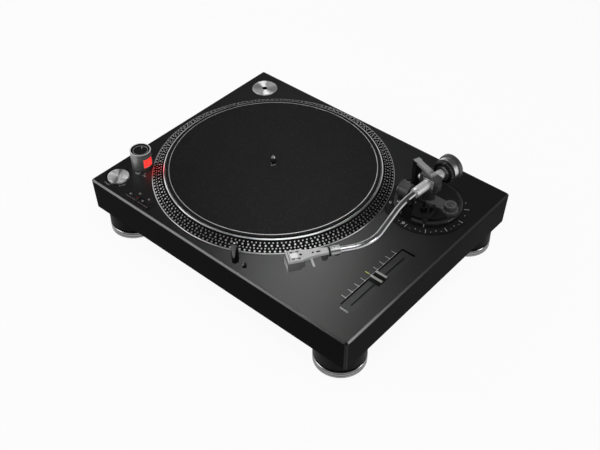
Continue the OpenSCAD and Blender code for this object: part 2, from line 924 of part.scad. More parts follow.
module motor_stator() {
    coil_top = deck_z + plate_bottom - magnet_h - coil_gap;
    color("#b0632d") translate([platter_x, platter_y, pan_floor]) difference() {
        union() {
            pipe(stator_r, stator_in, board_t);
            for (i = [0:coil_count - 1])
                rotate([0, 0, 360 / coil_count * i]) translate([coil_ring_r, 0, 0])
                    cylinder(r = coil_r, h = coil_top - pan_floor);
        }
        for (i = [0:coil_count - 1])
            rotate([0, 0, 360 / coil_count * i]) translate([coil_ring_r, 0, board_t])
                cylinder(r = coil_bore, h = cab_h);
    }
}

module spindle() {
    bottom = bearing_bottom + bearing_cup + pad_t + pad_play;
    tip = deck_z + spindle_top;
    seat = deck_z + hub_bottom;
    mat_top = deck_z + plate_top + mat_t;
    color("gainsboro") translate([platter_x, platter_y, 0]) rotate_extrude()
        polygon([
            [0, bottom],
            [axle_r, bottom],
            [axle_r, seat - spindle_flange_t],
            [spindle_flange_r, seat - spindle_flange_t],
            [spindle_flange_r, seat],
            [axle_r, seat],
            [axle_r, mat_top - pin_lift],
            [spindle_r, mat_top + pin_lift],
            [spindle_r, tip - tip_l],
            [spindle_r - 0.5, tip - tip_l / 2],
            [tip_r, tip - 0.4],
            [tip_r - 0.6, tip],
            [0, tip]
        ]);
}

module platter() {
    bore = axle_r + shaft_gap;
    rim_in = platter_r - rim_w;
    color("#5c5e62") deck(motor) rotate_extrude($fn = 180)
        polygon([
            [bore, hub_bottom],
            [bore, plate_top],
            [ring_r - ring_w, plate_top],
            [ring_r - ring_w, platter_top],
            [ring_r, platter_top],
            [platter_r, platter_gap + rim_lip],
            [platter_r, platter_gap],
            [rim_in, platter_gap],
            [rim_in - rim_lean, plate_bottom],
            [hub_r, plate_bottom],
            [hub_r, hub_bottom]
        ]);
}

module rotor_magnet() {
    color("#3a3a3d") deck(motor) translate([0, 0, plate_bottom - magnet_h])
        pipe(magnet_r, magnet_in, magnet_h);
}

module slipmat() {
    color("#2b2c2c") deck(motor) translate([0, 0, plate_top]) pipe(mat_r, axle_r + shaft_gap, mat_t);
}

module main_board() {
    color("darkgreen") translate([main_board_at[0], main_board_at[1], base_top + standoff_h]) {
        block([main_board_size[0], main_board_size[1], board_t]);
        for (p = main_board_parts)
            translate([p[0][0], p[0][1], board_t]) block(p[1]);
    }
}

module power_transformer() {
    color("#6d5a3c") translate([transformer_at[0], transformer_at[1], base_top]) {
        block(transformer_foot);
        translate([0, 0, transformer_foot[2]]) {
            block(transformer_size);
            translate([0, 0, (transformer_size[2] - coil_bulge[2]) / 2]) block(coil_bulge);
        }
    }
}

// Flat window in the pillar's right-hand side, as deep as it is given
module lens_window(extra, depth) {
    translate([pillar_r - lens_t, -lens_w / 2 - extra, lens_z - extra])
        cube([depth, lens_w + 2 * extra, lens_h + 2 * extra]);
}

module strobe_pillar() {
    color("#6e7371") deck([pillar_x, pillar_y]) difference() {
        union() {
            cylinder(r = pillar_r, h = dial_seam - dial_gap);
            translate([0, 0, -deck_t]) cylinder(r = pillar_stub_r, h = deck_t);
        }
        translate([0, 0, -deck_t - cut])
            cylinder(r = pillar_stub_r - pillar_wall, h = pillar_hollow + cut);
        translate([0, 0, dial_seam - dial_gap - pillar_top_t - cut])
            cylinder(r = dial_spigot_r + shaft_gap, h = pillar_top_t + 2 * cut);
        translate([0, 0, dial_seam - dial_gap - pillar_top_t - dial_spigot_l])
            cylinder(r = dial_spigot_r + 1, h = dial_spigot_l);
        lens_window(slot_gap, lens_t + cut);
    }
}

module strobe_lens() {
    color("red") deck([pillar_x, pillar_y]) lens_window(0, lens_t - lens_sink);
}

module power_dial() {
    color("#9a9d9c") deck([pillar_x, pillar_y]) {
        translate([0, 0, dial_seam]) difference() {
            cylinder(r = pillar_r, h = dial_h);
            translate([0, 0, dial_h - dial_sink]) cylinder(r = pillar_r - dial_wall, h = dial_sink + cut);
            translate([0, 0, dial_h - dial_sink - 0.5]) pipe(dial_groove_r + 0.5, dial_groove_r, 1);
        }
        translate([0, 0, dial_seam - dial_spigot_l]) cylinder(r = dial_spigot_r, h = dial_spigot_l);
    }
}

module start_stop_button() {
    color("silver") deck([start_x, start_y]) rotate_extrude()
        polygon([
            [0, stem_bottom - deck_z],
            [stem_button_r, stem_bottom - deck_z],
            [stem_button_r, -button_t],
            [start_r, -button_t],
            [start_r, start_proud - 0.6],
            [start_r - 0.6, start_proud],
            [0, start_proud]
        ]);
}

module speed_button(x) {
    deck([x, speed_y]) {
        translate([0, 0, -button_t]) block([speed_l, speed_w, button_t + speed_proud]);
        translate([0, 0, stem_bottom - deck_z])
            cylinder(r = stem_button_r, h = deck_z - button_t - stem_bottom);
    }
}

module speed_button_33() {
    color("#202124") speed_button(speed33_x);
}

module speed_button_45() {
    color("#202124") speed_button(speed45_x);
}

module control_board() {
    color("darkgreen") {
        difference() {
            translate([control_x0, control_y0, control_z - board_t])
                cube([control_x1 - control_x0, control_y1 - control_y0, board_t]);
            for (p = posts)
                translate([p[0], p[1], base_top]) cylinder(r = post_r + post_room, h = cab_h);
        }
        for (p = [[start_x, start_y], [speed33_x, speed_y], [speed45_x, speed_y]])
            translate([p[0], p[1], control_z]) {
                block(switch_size);
                cylinder(r = plunger_r, h = switch_size[2] + plunger_h);
            }
    }
}

module fader_plate() {
    color("#1e1f21") deck([fader_x, fader_y]) difference() {
        union() {
            translate([0, 0, -deck_t])
                block([fader_w - 2 * slot_gap, fader_l - 2 * slot_gap, deck_t - fader_d]);
            translate([0, 0, -deck_t - plate_flange_t])
                block([fader_w + 2 * plate_flange, fader_l + 2 * plate_flange, plate_flange_t]);
        }
        translate([0, 0, -deck_t - plate_flange_t - cut])
            block([slot_w, slot_l, deck_t + plate_flange_t + cut]);
    }
}

module fader_body() {
    color("#77797c") deck([fader_x, fader_y]) translate([0, 0, -deck_t - plate_flange_t - fader_body_h])
        difference() {
            block([fader_body_w, fader_body_l, fader_body_h]);
            translate([0, 0, fader_body_wall]) block([slot_w, slot_l, fader_body_h]);
        }
}

module fader_knob() {
    base = knob_gap;
    color("#3b3d40") deck([fader_x, fader_y]) {
        translate([-fader_knob_w / 2, 0, 0]) rotate([90, 0, 90]) linear_extrude(fader_knob_w)
            polygon([
                [-fader_knob_l / 2, base],
                [fader_knob_l / 2, base],
                [fader_knob_l / 2 - knob_edge, base + knob_body_h],
                [ridge_at + ridge_w / 2, base + knob_body_h],
                [ridge_at + ridge_w / 2 - 0.4, fader_knob_h],
                [ridge_at - ridge_w / 2, fader_knob_h],
                [groove_w / 2, base + knob_body_h],
                [groove_w / 2 - 0.5, base + knob_body_h - groove_d],
                [-groove_w / 2 + 0.5, base + knob_body_h - groove_d],
                [-groove_w / 2, base + knob_body_h],
                [-ridge_at + ridge_w / 2, fader_knob_h],
                [-ridge_at - ridge_w / 2 + 0.4, fader_knob_h],
                [-ridge_at - ridge_w / 2, base + knob_body_h],
                [-fader_knob_l / 2 + knob_edge, base + knob_body_h]
            ]);
        translate([0, 0, -stem_depth])
            block([stem_w, stem_len, stem_depth + base]);
    }
}

module stylus_lamp() {
    color("#1a1a1c") deck([lamp_x, lamp_y]) rotate_extrude()
        polygon([
            [0, -lamp_tail],
            [lamp_r, -lamp_tail],
            [lamp_r, lamp_h - lamp_cap_l],
            [lamp_r - 0.7, lamp_h - lamp_cap_l / 2],
            [lamp_r - 2, lamp_h - 0.4],
            [lamp_r - 3.4, lamp_h],
            [0, lamp_h]
        ]);
}

module lamp_sleeve() {
    color("#2a2a2c") deck([lamp_x, lamp_y]) translate([0, 0, -deck_t - lamp_sleeve_l]) difference() {
        cylinder(r = sleeve_out, h = lamp_sleeve_l);
        translate([0, 0, sleeve_floor]) cylinder(r = sleeve_in, h = lamp_sleeve_l);
    }
}

module lamp_button() {
    color("#1a1a1c") deck([lamp_x + lamp_button_gap, lamp_y]) rotate_extrude()
        polygon([
            [0, -deck_t - lamp_button_drop - lamp_button_flange],
            [lamp_button_r + 1.2, -deck_t - lamp_button_drop - lamp_button_flange],
            [lamp_button_r + 1.2, -deck_t - lamp_button_drop],
            [lamp_button_r, -deck_t - lamp_button_drop],
            [lamp_button_r, lamp_button_top - 0.8],
            [lamp_button_r - 0.8, lamp_button_top],
            [0, lamp_button_top]
        ]);
}

module adapter_45() {
    color("#c9cbcd") deck([adapter_x, adapter_y]) translate([0, 0, -pocket_d]) rotate_extrude()
        polygon([
            [adapter_bore, 0],
            [adapter_r, 0],
            [adapter_r, adapter_h - adapter_edge],
            [adapter_r - adapter_edge, adapter_h],
            [adapter_bore + 1, adapter_h - adapter_dish],
            [adapter_bore, adapter_h - adapter_dish]
        ]);
}

module arm_mount() {
    color("#141416") pivot() rotate_extrude()
        polygon([
            [stem_bore, -stem_l],
            [mount_tube_r, -stem_l],
            [mount_tube_r, 0],
            [mount_r, 0],
            [mount_r, mount_t - 0.6],
            [mount_r - 0.6, mount_t],
            [upstand_r, mount_t],
            [upstand_r, ring_top - run_gap],
            [upstand_r - upstand_w, ring_top - run_gap],
            [upstand_r - upstand_w, mount_t],
            [stem_bore, mount_t]
        ]);
}

module height_ring() {
    color("#1c1c1f") pivot() translate([0, 0, ring_z]) difference() {
        rotate_extrude()
            polygon([
                [height_ring_in, 0],
                [height_ring_r, 0],
                [height_ring_r, height_ring_h - 1],
                [height_ring_r - 1, height_ring_h],
                [height_ring_in, height_ring_h]
            ]);
        for (i = [0:47])
            rotate([0, 0, 7.5 * i]) translate([height_ring_r + 0.3, 0, -cut])
                cylinder(r = 0.8, h = height_ring_h + 2 * cut);
    }
}

// Rounded block that carries the anti-skate knob, reaching out over the height ring
module skate_block() {
    translate([skate_at[0], skate_at[1], arm_base_under])
        cylinder(r = skate_block_r, h = skate_block_z - arm_base_under);
    translate([skate_at[0] / 2, skate_at[1], arm_base_under])
        block([skate_at[0], 2 * skate_block_r - 4, skate_block_z - arm_base_under]);
}

module arm_base() {
    color("#232427") pivot() difference() {
        union() {
            translate([0, 0, arm_base_under]) cylinder(r = arm_base_r, h = arm_base_z - arm_base_under);
            translate([0, 0, -stem_l]) cylinder(r = stem_r, h = stem_l + arm_base_under);
            cylinder(r = boss_r, h = arm_z - yoke_below - pin_room);
            skate_block();
            rotate([0, 0, lift_post_a]) translate([lift_r, 0, arm_base_under])
                cylinder(r = lift_boss_r, h = arm_base_z + lift_boss_h - arm_base_under);
            translate([lock_lug_x + lock_lug_t / 2, lock_at[1], arm_base_under])
                block([lock_lug_t, lock_lug, lock_z + lock_lug_rise - arm_base_under]);
            translate([cue_at[0], cue_at[1], arm_base_under])
                block([cue_lug_t, 2 * cue_hub_r, cue_z + cue_hub_r - arm_base_under]);
        }
        translate([0, 0, arm_z - yoke_below - yoke_pin_l - pin_room])
            cylinder(r = yoke_pin_r + shaft_gap, h = arm_z);
        translate([0, 0, -stem_l - cut])
            cylinder(r = stem_r - stem_wall, h = stem_l + arm_base_under - stem_cap + cut);
        rotate([0, 0, lift_post_a]) translate([lift_r, 0, lift_top - lift_bar_t - lift_post_l - pin_room])
            cylinder(r = lift_post_r + shaft_gap, h = arm_z);
        translate([skate_at[0], skate_at[1], skate_block_z - skate_pin_l - pin_room])
            cylinder(r = skate_pin_r + shaft_gap, h = skate_pin_l + cut);
        translate([lock_lug_x - cut, lock_at[1], lock_z]) rotate([0, 90, 0])
            cylinder(r = lock_pin_r + shaft_gap, h = lock_lug_t + 2 * cut);
        translate([cue_at[0] - cue_lug_t, cue_at[1], cue_z]) rotate([0, 90, 0])
            cylinder(r = cue_pin_r + shaft_gap, h = 2 * cue_lug_t);
    }
}

module height_lock_knob() {
    color("#4a4b4e") pivot() translate([lock_at[0], lock_at[1], lock_z]) rotate([0, 90, 0]) {
        cylinder(r = lock_r, h = lock_l);
        cylinder(r = lock_r + lock_rim, h = lock_rim_t);
        cylinder(r = lock_pin_r, h = lock_l + run_gap + lock_lug_t);
    }
}

module bearing_bracket() {
    color("#b9bbbd") pivot() rotate([0, 0, bracket_a]) difference() {
        union() {
            translate([bracket_r, 0, arm_base_z])
                block([bracket_post[0], bracket_post[1], bracket_z - arm_base_z]);
            translate([-bracket_over, -bracket_w / 2, bracket_z - bracket_t])
                cube([bracket_r + bracket_over, bracket_w, bracket_t]);
        }
        translate([0, 0, bracket_z - bracket_t - cut])
            cylinder(r = bearing_screw_r + shaft_gap, h = bracket_t + 2 * cut);
    }
}

module top_bearing_screw() {
    color("gainsboro") pivot() difference() {
        union() {
            translate([0, 0, arm_z + yoke_above - 1.2])
                cylinder(r = bearing_screw_r, h = bracket_z - arm_z - yoke_above + 1.2);
            translate([0, 0, bracket_z]) cylinder(r = bearing_screw_head, h = 1.6);
        }
        translate([0, 0, bracket_z + 0.8]) block([0.8, 8, 2]);
    }
}

module gimbal_yoke() {
    color("#2e2f32") arm() {
        difference() {
            translate([0, 0, -yoke_below]) block([yoke_w, yoke_d, yoke_below + yoke_above]);
            translate([0, 0, -yoke_open_h / 2]) block([yoke_open_w, yoke_d + 2 * cut, yoke_open_h]);
            translate([0, 0, yoke_open_h / 2 - cut])
                cylinder(r = bearing_screw_r + shaft_gap, h = yoke_open_h);
        }
        translate([0, 0, -yoke_below - yoke_pin_l]) cylinder(r = yoke_pin_r, h = yoke_pin_l + 0.5);
        for (s = [-1, 1])
            translate([s * (block_w / 2 - side_pin_in), 0, 0]) rotate([0, s * 90, 0])
                cylinder(r = side_pin_r, h = (yoke_w - block_w) / 2 + side_pin_in + 1);
        for (s = [-1, 1])
            translate([s * (yoke_w / 2 - 0.5), 0, 0]) rotate([0, s * 90, 0])
                cylinder(r = cap_r, h = cap_t + 0.5);
    }
}

module arm_sleeve() {
    color("#c4c6c8") arm() difference() {
        union() {
            translate([0, 0, -block_h / 2]) block([block_w, block_d, block_h]);
            translate([0, -sleeve_from - sleeve_l, 0]) rod(sleeve_r, sleeve_l);
            translate([0, rear_sleeve_from, 0]) rod(sleeve_r, rear_sleeve_to - rear_sleeve_from);
        }
        for (s = [-1, 1])
            translate([s * (block_w / 2 - side_pin_in - 0.3), 0, 0]) rotate([0, s * 90, 0])
                cylinder(r = side_pin_r + shaft_gap, h = block_w);
        translate([0, -sleeve_from - sleeve_l - cut, 0]) rod(tube_r + tube_step + shaft_gap, sleeve_l + cut);
        translate([0, shaft_from, 0]) rod(shaft_r + shaft_gap, sleeve_l);
    }
}

// Cross-section of the arm's tube
module tube_section(extra = 0) {
    difference() {
        circle(r = tube_r + extra);
        circle(r = tube_in - extra);
    }
}

// Straight length of the arm's tube towards local -Y, lapped into the bends at either end
module straight_tube(l, lap_start, lap_end) {
    translate([0, lap_start, 0]) rotate([90, 0, 0])
        linear_extrude(l + lap_start + lap_end) tube_section(tube_step);
}

module arm_tube() {
    color("gainsboro") arm() {
        translate([0, -sleeve_from, 0]) straight_tube(bend1_y - sleeve_from, 0, tube_lap);
        translate([bend1_r, -bend1_y, 0]) rotate([0, 0, 180])
            rotate_extrude(angle = bend1_a) translate([bend1_r, 0]) tube_section();
        translate([path1[0], path1[1], 0]) rotate([0, 0, bend1_a])
            straight_tube(middle_l, tube_lap, tube_lap);
        translate([bend2_c[0], bend2_c[1], 0]) rotate([0, 0, -head_a])
            rotate_extrude(angle = bend1_a + head_a) translate([bend2_r, 0]) tube_section();
        translate([path3[0], path3[1], 0]) rotate([0, 0, -head_a]) straight_tube(end_l, tube_lap, 0);
    }
}

module lock_collar() {
    color("silver") head() translate([0, -collar_from - collar_l, 0]) difference() {
        union() {
            rod(collar_r, collar_l);
            translate([0, collar_l / 2 - 1.5, 0]) rod(collar_r + collar_lip, 3);
        }
        translate([0, -cut, 0]) rod(tube_r + tube_step + shaft_gap, collar_l + 2 * cut);
    }
}

module headshell() {
    color("#d2d4d6") head() translate([0, -shell_from, 0]) {
        difference() {
            union() {
                translate([0, 0, shell_bottom]) linear_extrude(shell_t)
                    polygon([
                        [-neck_r, 0],
                        [neck_r, 0],
                        [shell_w / 2 - shell_waist_w, -shell_l + shell_straight + shell_waist],
                        [shell_w / 2 - shell_step_w, -shell_l + shell_straight + shell_step],
                        [shell_w / 2, -shell_l + shell_straight],
                        [shell_w / 2, -shell_l],
                        [-shell_w / 2, -shell_l],
                        [-shell_w / 2, -shell_l + shell_straight],
                        [-shell_w / 2 + shell_step_w, -shell_l + shell_straight + shell_step],
                        [-shell_w / 2 + shell_waist_w, -shell_l + shell_straight + shell_waist]
                    ]);
                translate([0, -root_y, -root_drop]) rotate([0, 90, 0])
                    cylinder(r = root_r, h = root_w, center = true);
                translate([0, -root_y, -root_drop]) block([root_w, 2 * root_r, root_drop + shell_top]);
            }
            for (s = [-1, 1])
                translate([s * shell_slot_s, -shell_l + slot_from + shell_slot_l / 2, shell_bottom - cut])
                    block([shell_slot_w, shell_slot_l, shell_t + 2 * cut]);
            for (y = shell_holes)
                translate([0, -shell_l + y, shell_bottom - cut])
                    cylinder(r = shell_hole_r, h = shell_t + 2 * cut);
            translate([0, -shell_l + shell_key_at, shell_bottom - cut])
                block([shell_key_w, shell_key_l, shell_t + 2 * cut]);
        }
        rod(washer_r, washer_t - run_gap);
        translate([0, -root_y, 0]) rod(plug_r, plug_l + root_y);
    }
}

module finger_lift() {
    color("silver") head() translate([0, -shell_front + lift_at, shell_bottom]) {
        translate([shell_w / 2 - lift_tab / 2, 0, -lift_t]) block([lift_tab, lift_w, lift_t]);
        translate([shell_w / 2 + lift_l / 2, 0, -lift_t]) block([lift_l, lift_w, lift_t]);
    }
}

module cartridge() {
    color("#161618") head() translate([-cart_w / 2, -shell_front, shell_bottom - cart_h]) difference() {
        translate([0, -cart_nose, 0]) cube([cart_w, cart_l, cart_h]);
        translate([-cut, cart_l - cart_nose - 5, -cut]) cube([cart_w + 2 * cut, 5 + cut, 4 + cut]);
    }
}

module stylus() {
    tip = stylus_z - arm_z;
    top = shell_bottom - cart_h;
    drop = top - stylus_h + 1 - tip - cantilever_r;
    color("#3c3c40") head() {
        translate([-stylus_w / 2, -shell_front + stylus_back - 2, top]) rotate([90, 0, 90])
            linear_extrude(stylus_w)
            polygon([[0, 0], [stylus_l, 0], [stylus_l, -stylus_h], [stylus_l - 5, -stylus_h]]);
        translate([0, -shell_front + stylus_back + stylus_l - 5, top - stylus_h + 1])
            rotate([-90 - atan2(drop, stylus_l - 5), 0, 180])
                cylinder(r = cantilever_r, h = norm([stylus_l - 5, drop]));
    }
}

module rear_shaft() {
    color("gainsboro") arm() translate([0, shaft_from, 0]) rod(shaft_r, shaft_end - shaft_from);
}

module weight_bush() {
    color("#2b2b2b") arm() translate([0, weight_y + force_dial_t + 1, 0]) difference() {
        rod(bush_r, bush_l);
        translate([0, -cut, 0]) rod(shaft_r + shaft_gap, bush_l + 2 * cut);
    }
}

module counterweight() {
    back = force_dial_t + weight_l;
    color("silver") arm() translate([0, weight_y, 0]) rotate([-90, 0, 0]) rotate_extrude()
        polygon([
            [dial_bore, force_dial_t - weight_spigot_l],
            [weight_spigot_r, force_dial_t - weight_spigot_l],
            [weight_spigot_r, force_dial_t + run_gap],
            [weight_r, force_dial_t + run_gap],
            [weight_r, back - weight_rim_l],
            [weight_rim_r, back - weight_rim_l],
            [weight_rim_r, back - 1],
            [weight_rim_r - 1, back],
            [weight_bore, back],
            [weight_bore, force_dial_t + 1],
            [dial_bore, force_dial_t + 1]
        ]);
}

module force_dial() {
    color("#19191b") arm() translate([0, weight_y, 0]) rotate([-90, 0, 0]) rotate_extrude()
        polygon([
            [weight_spigot_r + shaft_gap, 0],
            [force_dial_r - dial_front, 0],
            [force_dial_r, dial_front],
            [force_dial_r, force_dial_t],
            [weight_spigot_r + shaft_gap, force_dial_t]
        ]);
}

module arm_rest() {
    color("#2f3033") pivot() rotate([0, 0, -arm_turn]) {
        difference() {
            translate([rest_x, -(rest_y + arm_base_r - 2) / 2 - rest_l / 4, arm_base_under])
                block([rest_w, rest_y - arm_base_r + 2 + rest_l / 2, rest_plate_t]);
            translate([0, 0, arm_base_under - cut])
                cylinder(r = arm_base_r + shaft_gap, h = rest_plate_t + 2 * cut);
        }
        translate([rest_x, -rest_y, arm_base_under])
            block([rest_w, rest_l, arm_z - rest_drop - arm_base_under]);
        for (s = [-1, 1])
            translate([
                rest_x + clip_x - clip_t, -rest_y + s * (clip_w / 2 + run_gap + ear_t / 2),
                clip_axis_z - ear_h / 2
            ])
                block([3 * clip_t, ear_t, ear_h]);
        translate([rest_x + clip_x + clip_t / 2, -rest_y - clip_w / 2 - run_gap - cut, clip_axis_z])
            rod(clip_pin_r, clip_w + 2 * run_gap + 2 * cut);
    }
}

module arm_clip() {
    color("#3a3b3e") pivot() rotate([0, 0, -arm_turn])
        translate([rest_x + clip_x, -rest_y - clip_w / 2, clip_axis_z]) difference() {
            union() {
                cube([clip_t, clip_w, arm_z + clip_top - clip_axis_z]);
                translate([clip_t / 2, 0, 0]) rod(clip_t / 2, clip_w);
            }
            translate([clip_t / 2, -cut, 0]) rod(clip_pin_r + shaft_gap, clip_w + 2 * cut);
        }
}

module lift_bar() {
    color("#303134") pivot() {
        rotate([0, 0, lift_a0]) translate([0, 0, lift_top - lift_bar_t])
            rotate_extrude(angle = lift_a1 - lift_a0)
            translate([lift_r - lift_bar_w / 2, 0]) square([lift_bar_w, lift_bar_t]);
        rotate([0, 0, lift_post_a]) translate([lift_r, 0, lift_top - lift_bar_t - lift_post_l])
            cylinder(r = lift_post_r, h = lift_post_l + lift_bar_t);
    }
}

module cue_lever() {
    color("#26272a") pivot() translate([cue_at[0] + cue_lug_t / 2, cue_at[1], cue_z]) {
        translate([-cue_lug_t, 0, 0]) rotate([0, 90, 0])
            cylinder(r = cue_pin_r, h = cue_lug_t + run_gap + 1);
        translate([run_gap, 0, 0]) rotate([0, 90, 0]) cylinder(r = cue_hub_r, h = cue_hub_l);
        translate([run_gap + cue_hub_l / 2, 0, 0]) rotate([90 + cue_droop, 0, 0]) {
            cylinder(r = cue_bar_r, h = cue_l);
            translate([0, 0, cue_l]) sphere(r = cue_ball_r);
        }
    }
}

module anti_skate_knob() {
    color("#4c4d50") pivot() translate([skate_at[0], skate_at[1], skate_block_z + run_gap]) {
        difference() {
            cylinder(r = skate_r, h = skate_h);
            for (i = [0:23])
                rotate([0, 0, 15 * i]) translate([skate_r + 0.25, 0, -cut])
                    cylinder(r = 0.6, h = skate_h - 1 + cut);
        }
        translate([0, 0, -skate_pin_l - run_gap]) cylinder(r = skate_pin_r, h = skate_pin_l + run_gap);
    }
}

// One foot: rubber pad, metal ring with two grooves, and plastic neck with its levelling stud
module foot(sx, sy) {
    ring_end = foot_pad_t + foot_ring_h;
    neck_top = foot_h - 2 * run_gap;
    color("#3c3d3f") translate([sx * foot_x, sy * foot_y, 0]) {
        cylinder(r = foot_r - 4, h = foot_pad_t);
        rotate_extrude()
            polygon([
                [0, foot_pad_t],
                [foot_r - 1, foot_pad_t],
                [foot_r, foot_pad_t + 0.8],
                [foot_r, foot_pad_t + foot_ring_h * 0.34],
                [foot_r - 0.6, foot_pad_t + foot_ring_h * 0.36],
                [foot_r - 0.6, foot_pad_t + foot_ring_h * 0.44],
                [foot_r, foot_pad_t + foot_ring_h * 0.46],
                [foot_r, foot_pad_t + foot_ring_h * 0.68],
                [foot_r - 0.9, foot_pad_t + foot_ring_h * 0.71],
                [foot_r - 0.9, foot_pad_t + foot_ring_h * 0.79],
                [foot_r, foot_pad_t + foot_ring_h * 0.82],
                [foot_r, ring_end - 0.7],
                [foot_r - 0.7, ring_end],
                [0, ring_end]
            ]);
        rotate_extrude()
            polygon([
                [0, ring_end],
                [foot_r - 2.4, ring_end],
                [foot_r - 0.3, ring_end + 4],
                [foot_r - 0.3, neck_top],
                [foot_stud_r, neck_top],
                [foot_stud_r, foot_h + foot_stud_l],
                [0, foot_h + foot_stud_l]
            ]);
    }
}

module front_left_foot() {
    foot(-1, -1);
}

module front_right_foot() {
    foot(1, -1);
}

module rear_left_foot() {
    foot(-1, 1);
}

module rear_right_foot() {
    foot(1, 1);
}

top_cabinet();
bottom_base();
chassis_screws();
terminal_panel();
rca_jacks();
ac_inlet();
ground_post();
ground_nut();
motor_pan();
bearing_housing();
thrust_pad();
motor_stator();
spindle();
platter();
rotor_magnet();
slipmat();
main_board();
power_transformer();
strobe_pillar();
strobe_lens();
power_dial();
start_stop_button();
speed_button_33();
speed_button_45();
control_board();
fader_plate();
fader_body();
fader_knob();
stylus_lamp();
lamp_sleeve();
lamp_button();
adapter_45();
arm_mount();
height_ring();
arm_base();
height_lock_knob();
bearing_bracket();
top_bearing_screw();
gimbal_yoke();
arm_sleeve();
arm_tube();
lock_collar();
headshell();
finger_lift();
cartridge();
stylus();
rear_shaft();
weight_bush();
counterweight();
force_dial();
arm_rest();
arm_clip();
lift_bar();
cue_lever();
anti_skate_knob();
front_left_foot();
front_right_foot();
rear_left_foot();
rear_right_foot();
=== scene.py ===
import json
import math
import random

import bmesh
import bpy
from mathutils import Matrix, Vector


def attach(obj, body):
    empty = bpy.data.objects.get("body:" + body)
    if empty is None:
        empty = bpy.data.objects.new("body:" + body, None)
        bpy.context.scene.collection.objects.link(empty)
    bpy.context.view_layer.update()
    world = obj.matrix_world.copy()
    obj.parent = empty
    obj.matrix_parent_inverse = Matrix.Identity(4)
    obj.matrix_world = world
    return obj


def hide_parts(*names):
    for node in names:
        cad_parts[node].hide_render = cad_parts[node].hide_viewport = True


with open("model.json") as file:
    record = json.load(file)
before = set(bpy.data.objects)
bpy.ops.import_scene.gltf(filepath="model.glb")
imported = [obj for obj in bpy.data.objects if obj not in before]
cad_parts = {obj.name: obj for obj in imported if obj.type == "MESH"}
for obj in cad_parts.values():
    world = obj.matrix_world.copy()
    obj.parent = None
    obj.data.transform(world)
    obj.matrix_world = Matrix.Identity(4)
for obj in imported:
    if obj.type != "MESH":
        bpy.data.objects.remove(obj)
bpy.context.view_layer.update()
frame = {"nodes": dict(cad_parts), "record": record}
nodes = frame["nodes"]
record = frame["record"]
body_of = {n: b for b, names in record["behaviour"]["bodies"].items() for n in names}
slot_of = {p["node"]: p["material_slot"] for p in record["subparts"]}
rng = random.Random(11)

# Places and sizes of the part, in millimetres

MM = 0.001
MICRON = 0.000001
DECK = 84.5
PRINT = 0.03
PLATTER = (-46.5, 1.0)
RIM_OUT, RIM_LOW = 166.4, 3.5
RIM_IN, RIM_TOP = 150.4, 12.3
RIM_SLOPE = (RIM_TOP - RIM_LOW) / (RIM_OUT - RIM_IN)
PIVOT = (155.8, 81.5)
ARM_TURN = math.radians(3.5)
ARM_COS, ARM_SIN = math.cos(ARM_TURN), math.sin(ARM_TURN)
ARM_Z = DECK + 42
FLANGE_TOP = DECK + 1.8
RING_TOP = DECK + 8.7
START = (-200.0, -146.5)
ADAPTER = (-191.0, 141.0)
PILLAR = (-194.0, -108.0)
FADER_Y = -68.5
HEAD_END = (155.459, -81.597)
HEAD_DIR = (-0.5736, -0.8192)
SHELL_TOP = 3.8
SHELL_FRONT = 80.0
SKATE = (190.0, 81.0)
LAMP = (34.5, -159.5)
DIAL_R = 15.2
BACK = 160.0


# Materials

def grey(level, blue=0.0):
    """A grey with a little more or less blue in it."""
    return level, level, level + blue


def set_in(bsdf, **values):
    for name, value in values.items():
        bsdf.inputs[name.replace("_", " ")].default_value = value


def shade(tree, kind, **values):
    made = tree.nodes.new(kind)
    for name, value in values.items():
        setattr(made, name, value)
    return made


def math_node(tree, operation, first, second=None):
    made = shade(tree, "ShaderNodeMath", operation=operation)
    for slot, value in ((0, first), (1, second)):
        if value is None:
            continue
        if isinstance(value, (int, float)):
            made.inputs[slot].default_value = value
        else:
            tree.links.new(value, made.inputs[slot])
    return made.outputs[0]


def noise(tree, vector, scale, detail=3.0):
    made = shade(tree, "ShaderNodeTexNoise")
    made.inputs["Scale"].default_value = scale
    made.inputs["Detail"].default_value = detail
    made.inputs["Roughness"].default_value = 0.55
    tree.links.new(vector, made.inputs["Vector"])
    return made.outputs["Fac"]


def span(tree, value, low, high, start=0.3, end=0.7):
    made = shade(tree, "ShaderNodeMapRange")
    for name, number in (("From Min", start), ("From Max", end), ("To Min", low), ("To Max", high)):
        made.inputs[name].default_value = number
    tree.links.new(value, made.inputs["Value"])
    return made.outputs["Result"]


def blend_colour(tree, factor, first, second):
    made = shade(tree, "ShaderNodeMix", data_type="RGBA")
    tree.links.new(factor, made.inputs["Factor"])
    for name, value in (("A", first), ("B", second)):
        socket = [s for s in made.inputs if s.name == name and s.type == "RGBA"][0]
        if isinstance(value, tuple):
            socket.default_value = value + (1.0,)
        else:
            tree.links.new(value, socket)
    return [s for s in made.outputs if s.type == "RGBA"][0]


def scaled(colour, factor):
    return tuple(min(1.0, c * factor) for c in colour)


def spun_about(tree, place, centre):
    """Noise places that depend only on the distance from an upright axis and on the height."""
    offset = shade(tree, "ShaderNodeVectorMath", operation="SUBTRACT")
    offset.inputs[1].default_value = (centre[0] * MM, centre[1] * MM, 0)
    tree.links.new(place, offset.inputs[0])
    parts = shade(tree, "ShaderNodeSeparateXYZ")
    tree.links.new(offset.outputs[0], parts.inputs[0])
    x, y, z = parts.outputs
    squares = math_node(tree, "ADD", math_node(tree, "MULTIPLY", x, x), math_node(tree, "MULTIPLY", y, y))
    ring = shade(tree, "ShaderNodeCombineXYZ")
    tree.links.new(math_node(tree, "SQRT", squares), ring.inputs[0])
    tree.links.new(z, ring.inputs[1])
    return ring.outputs[0]


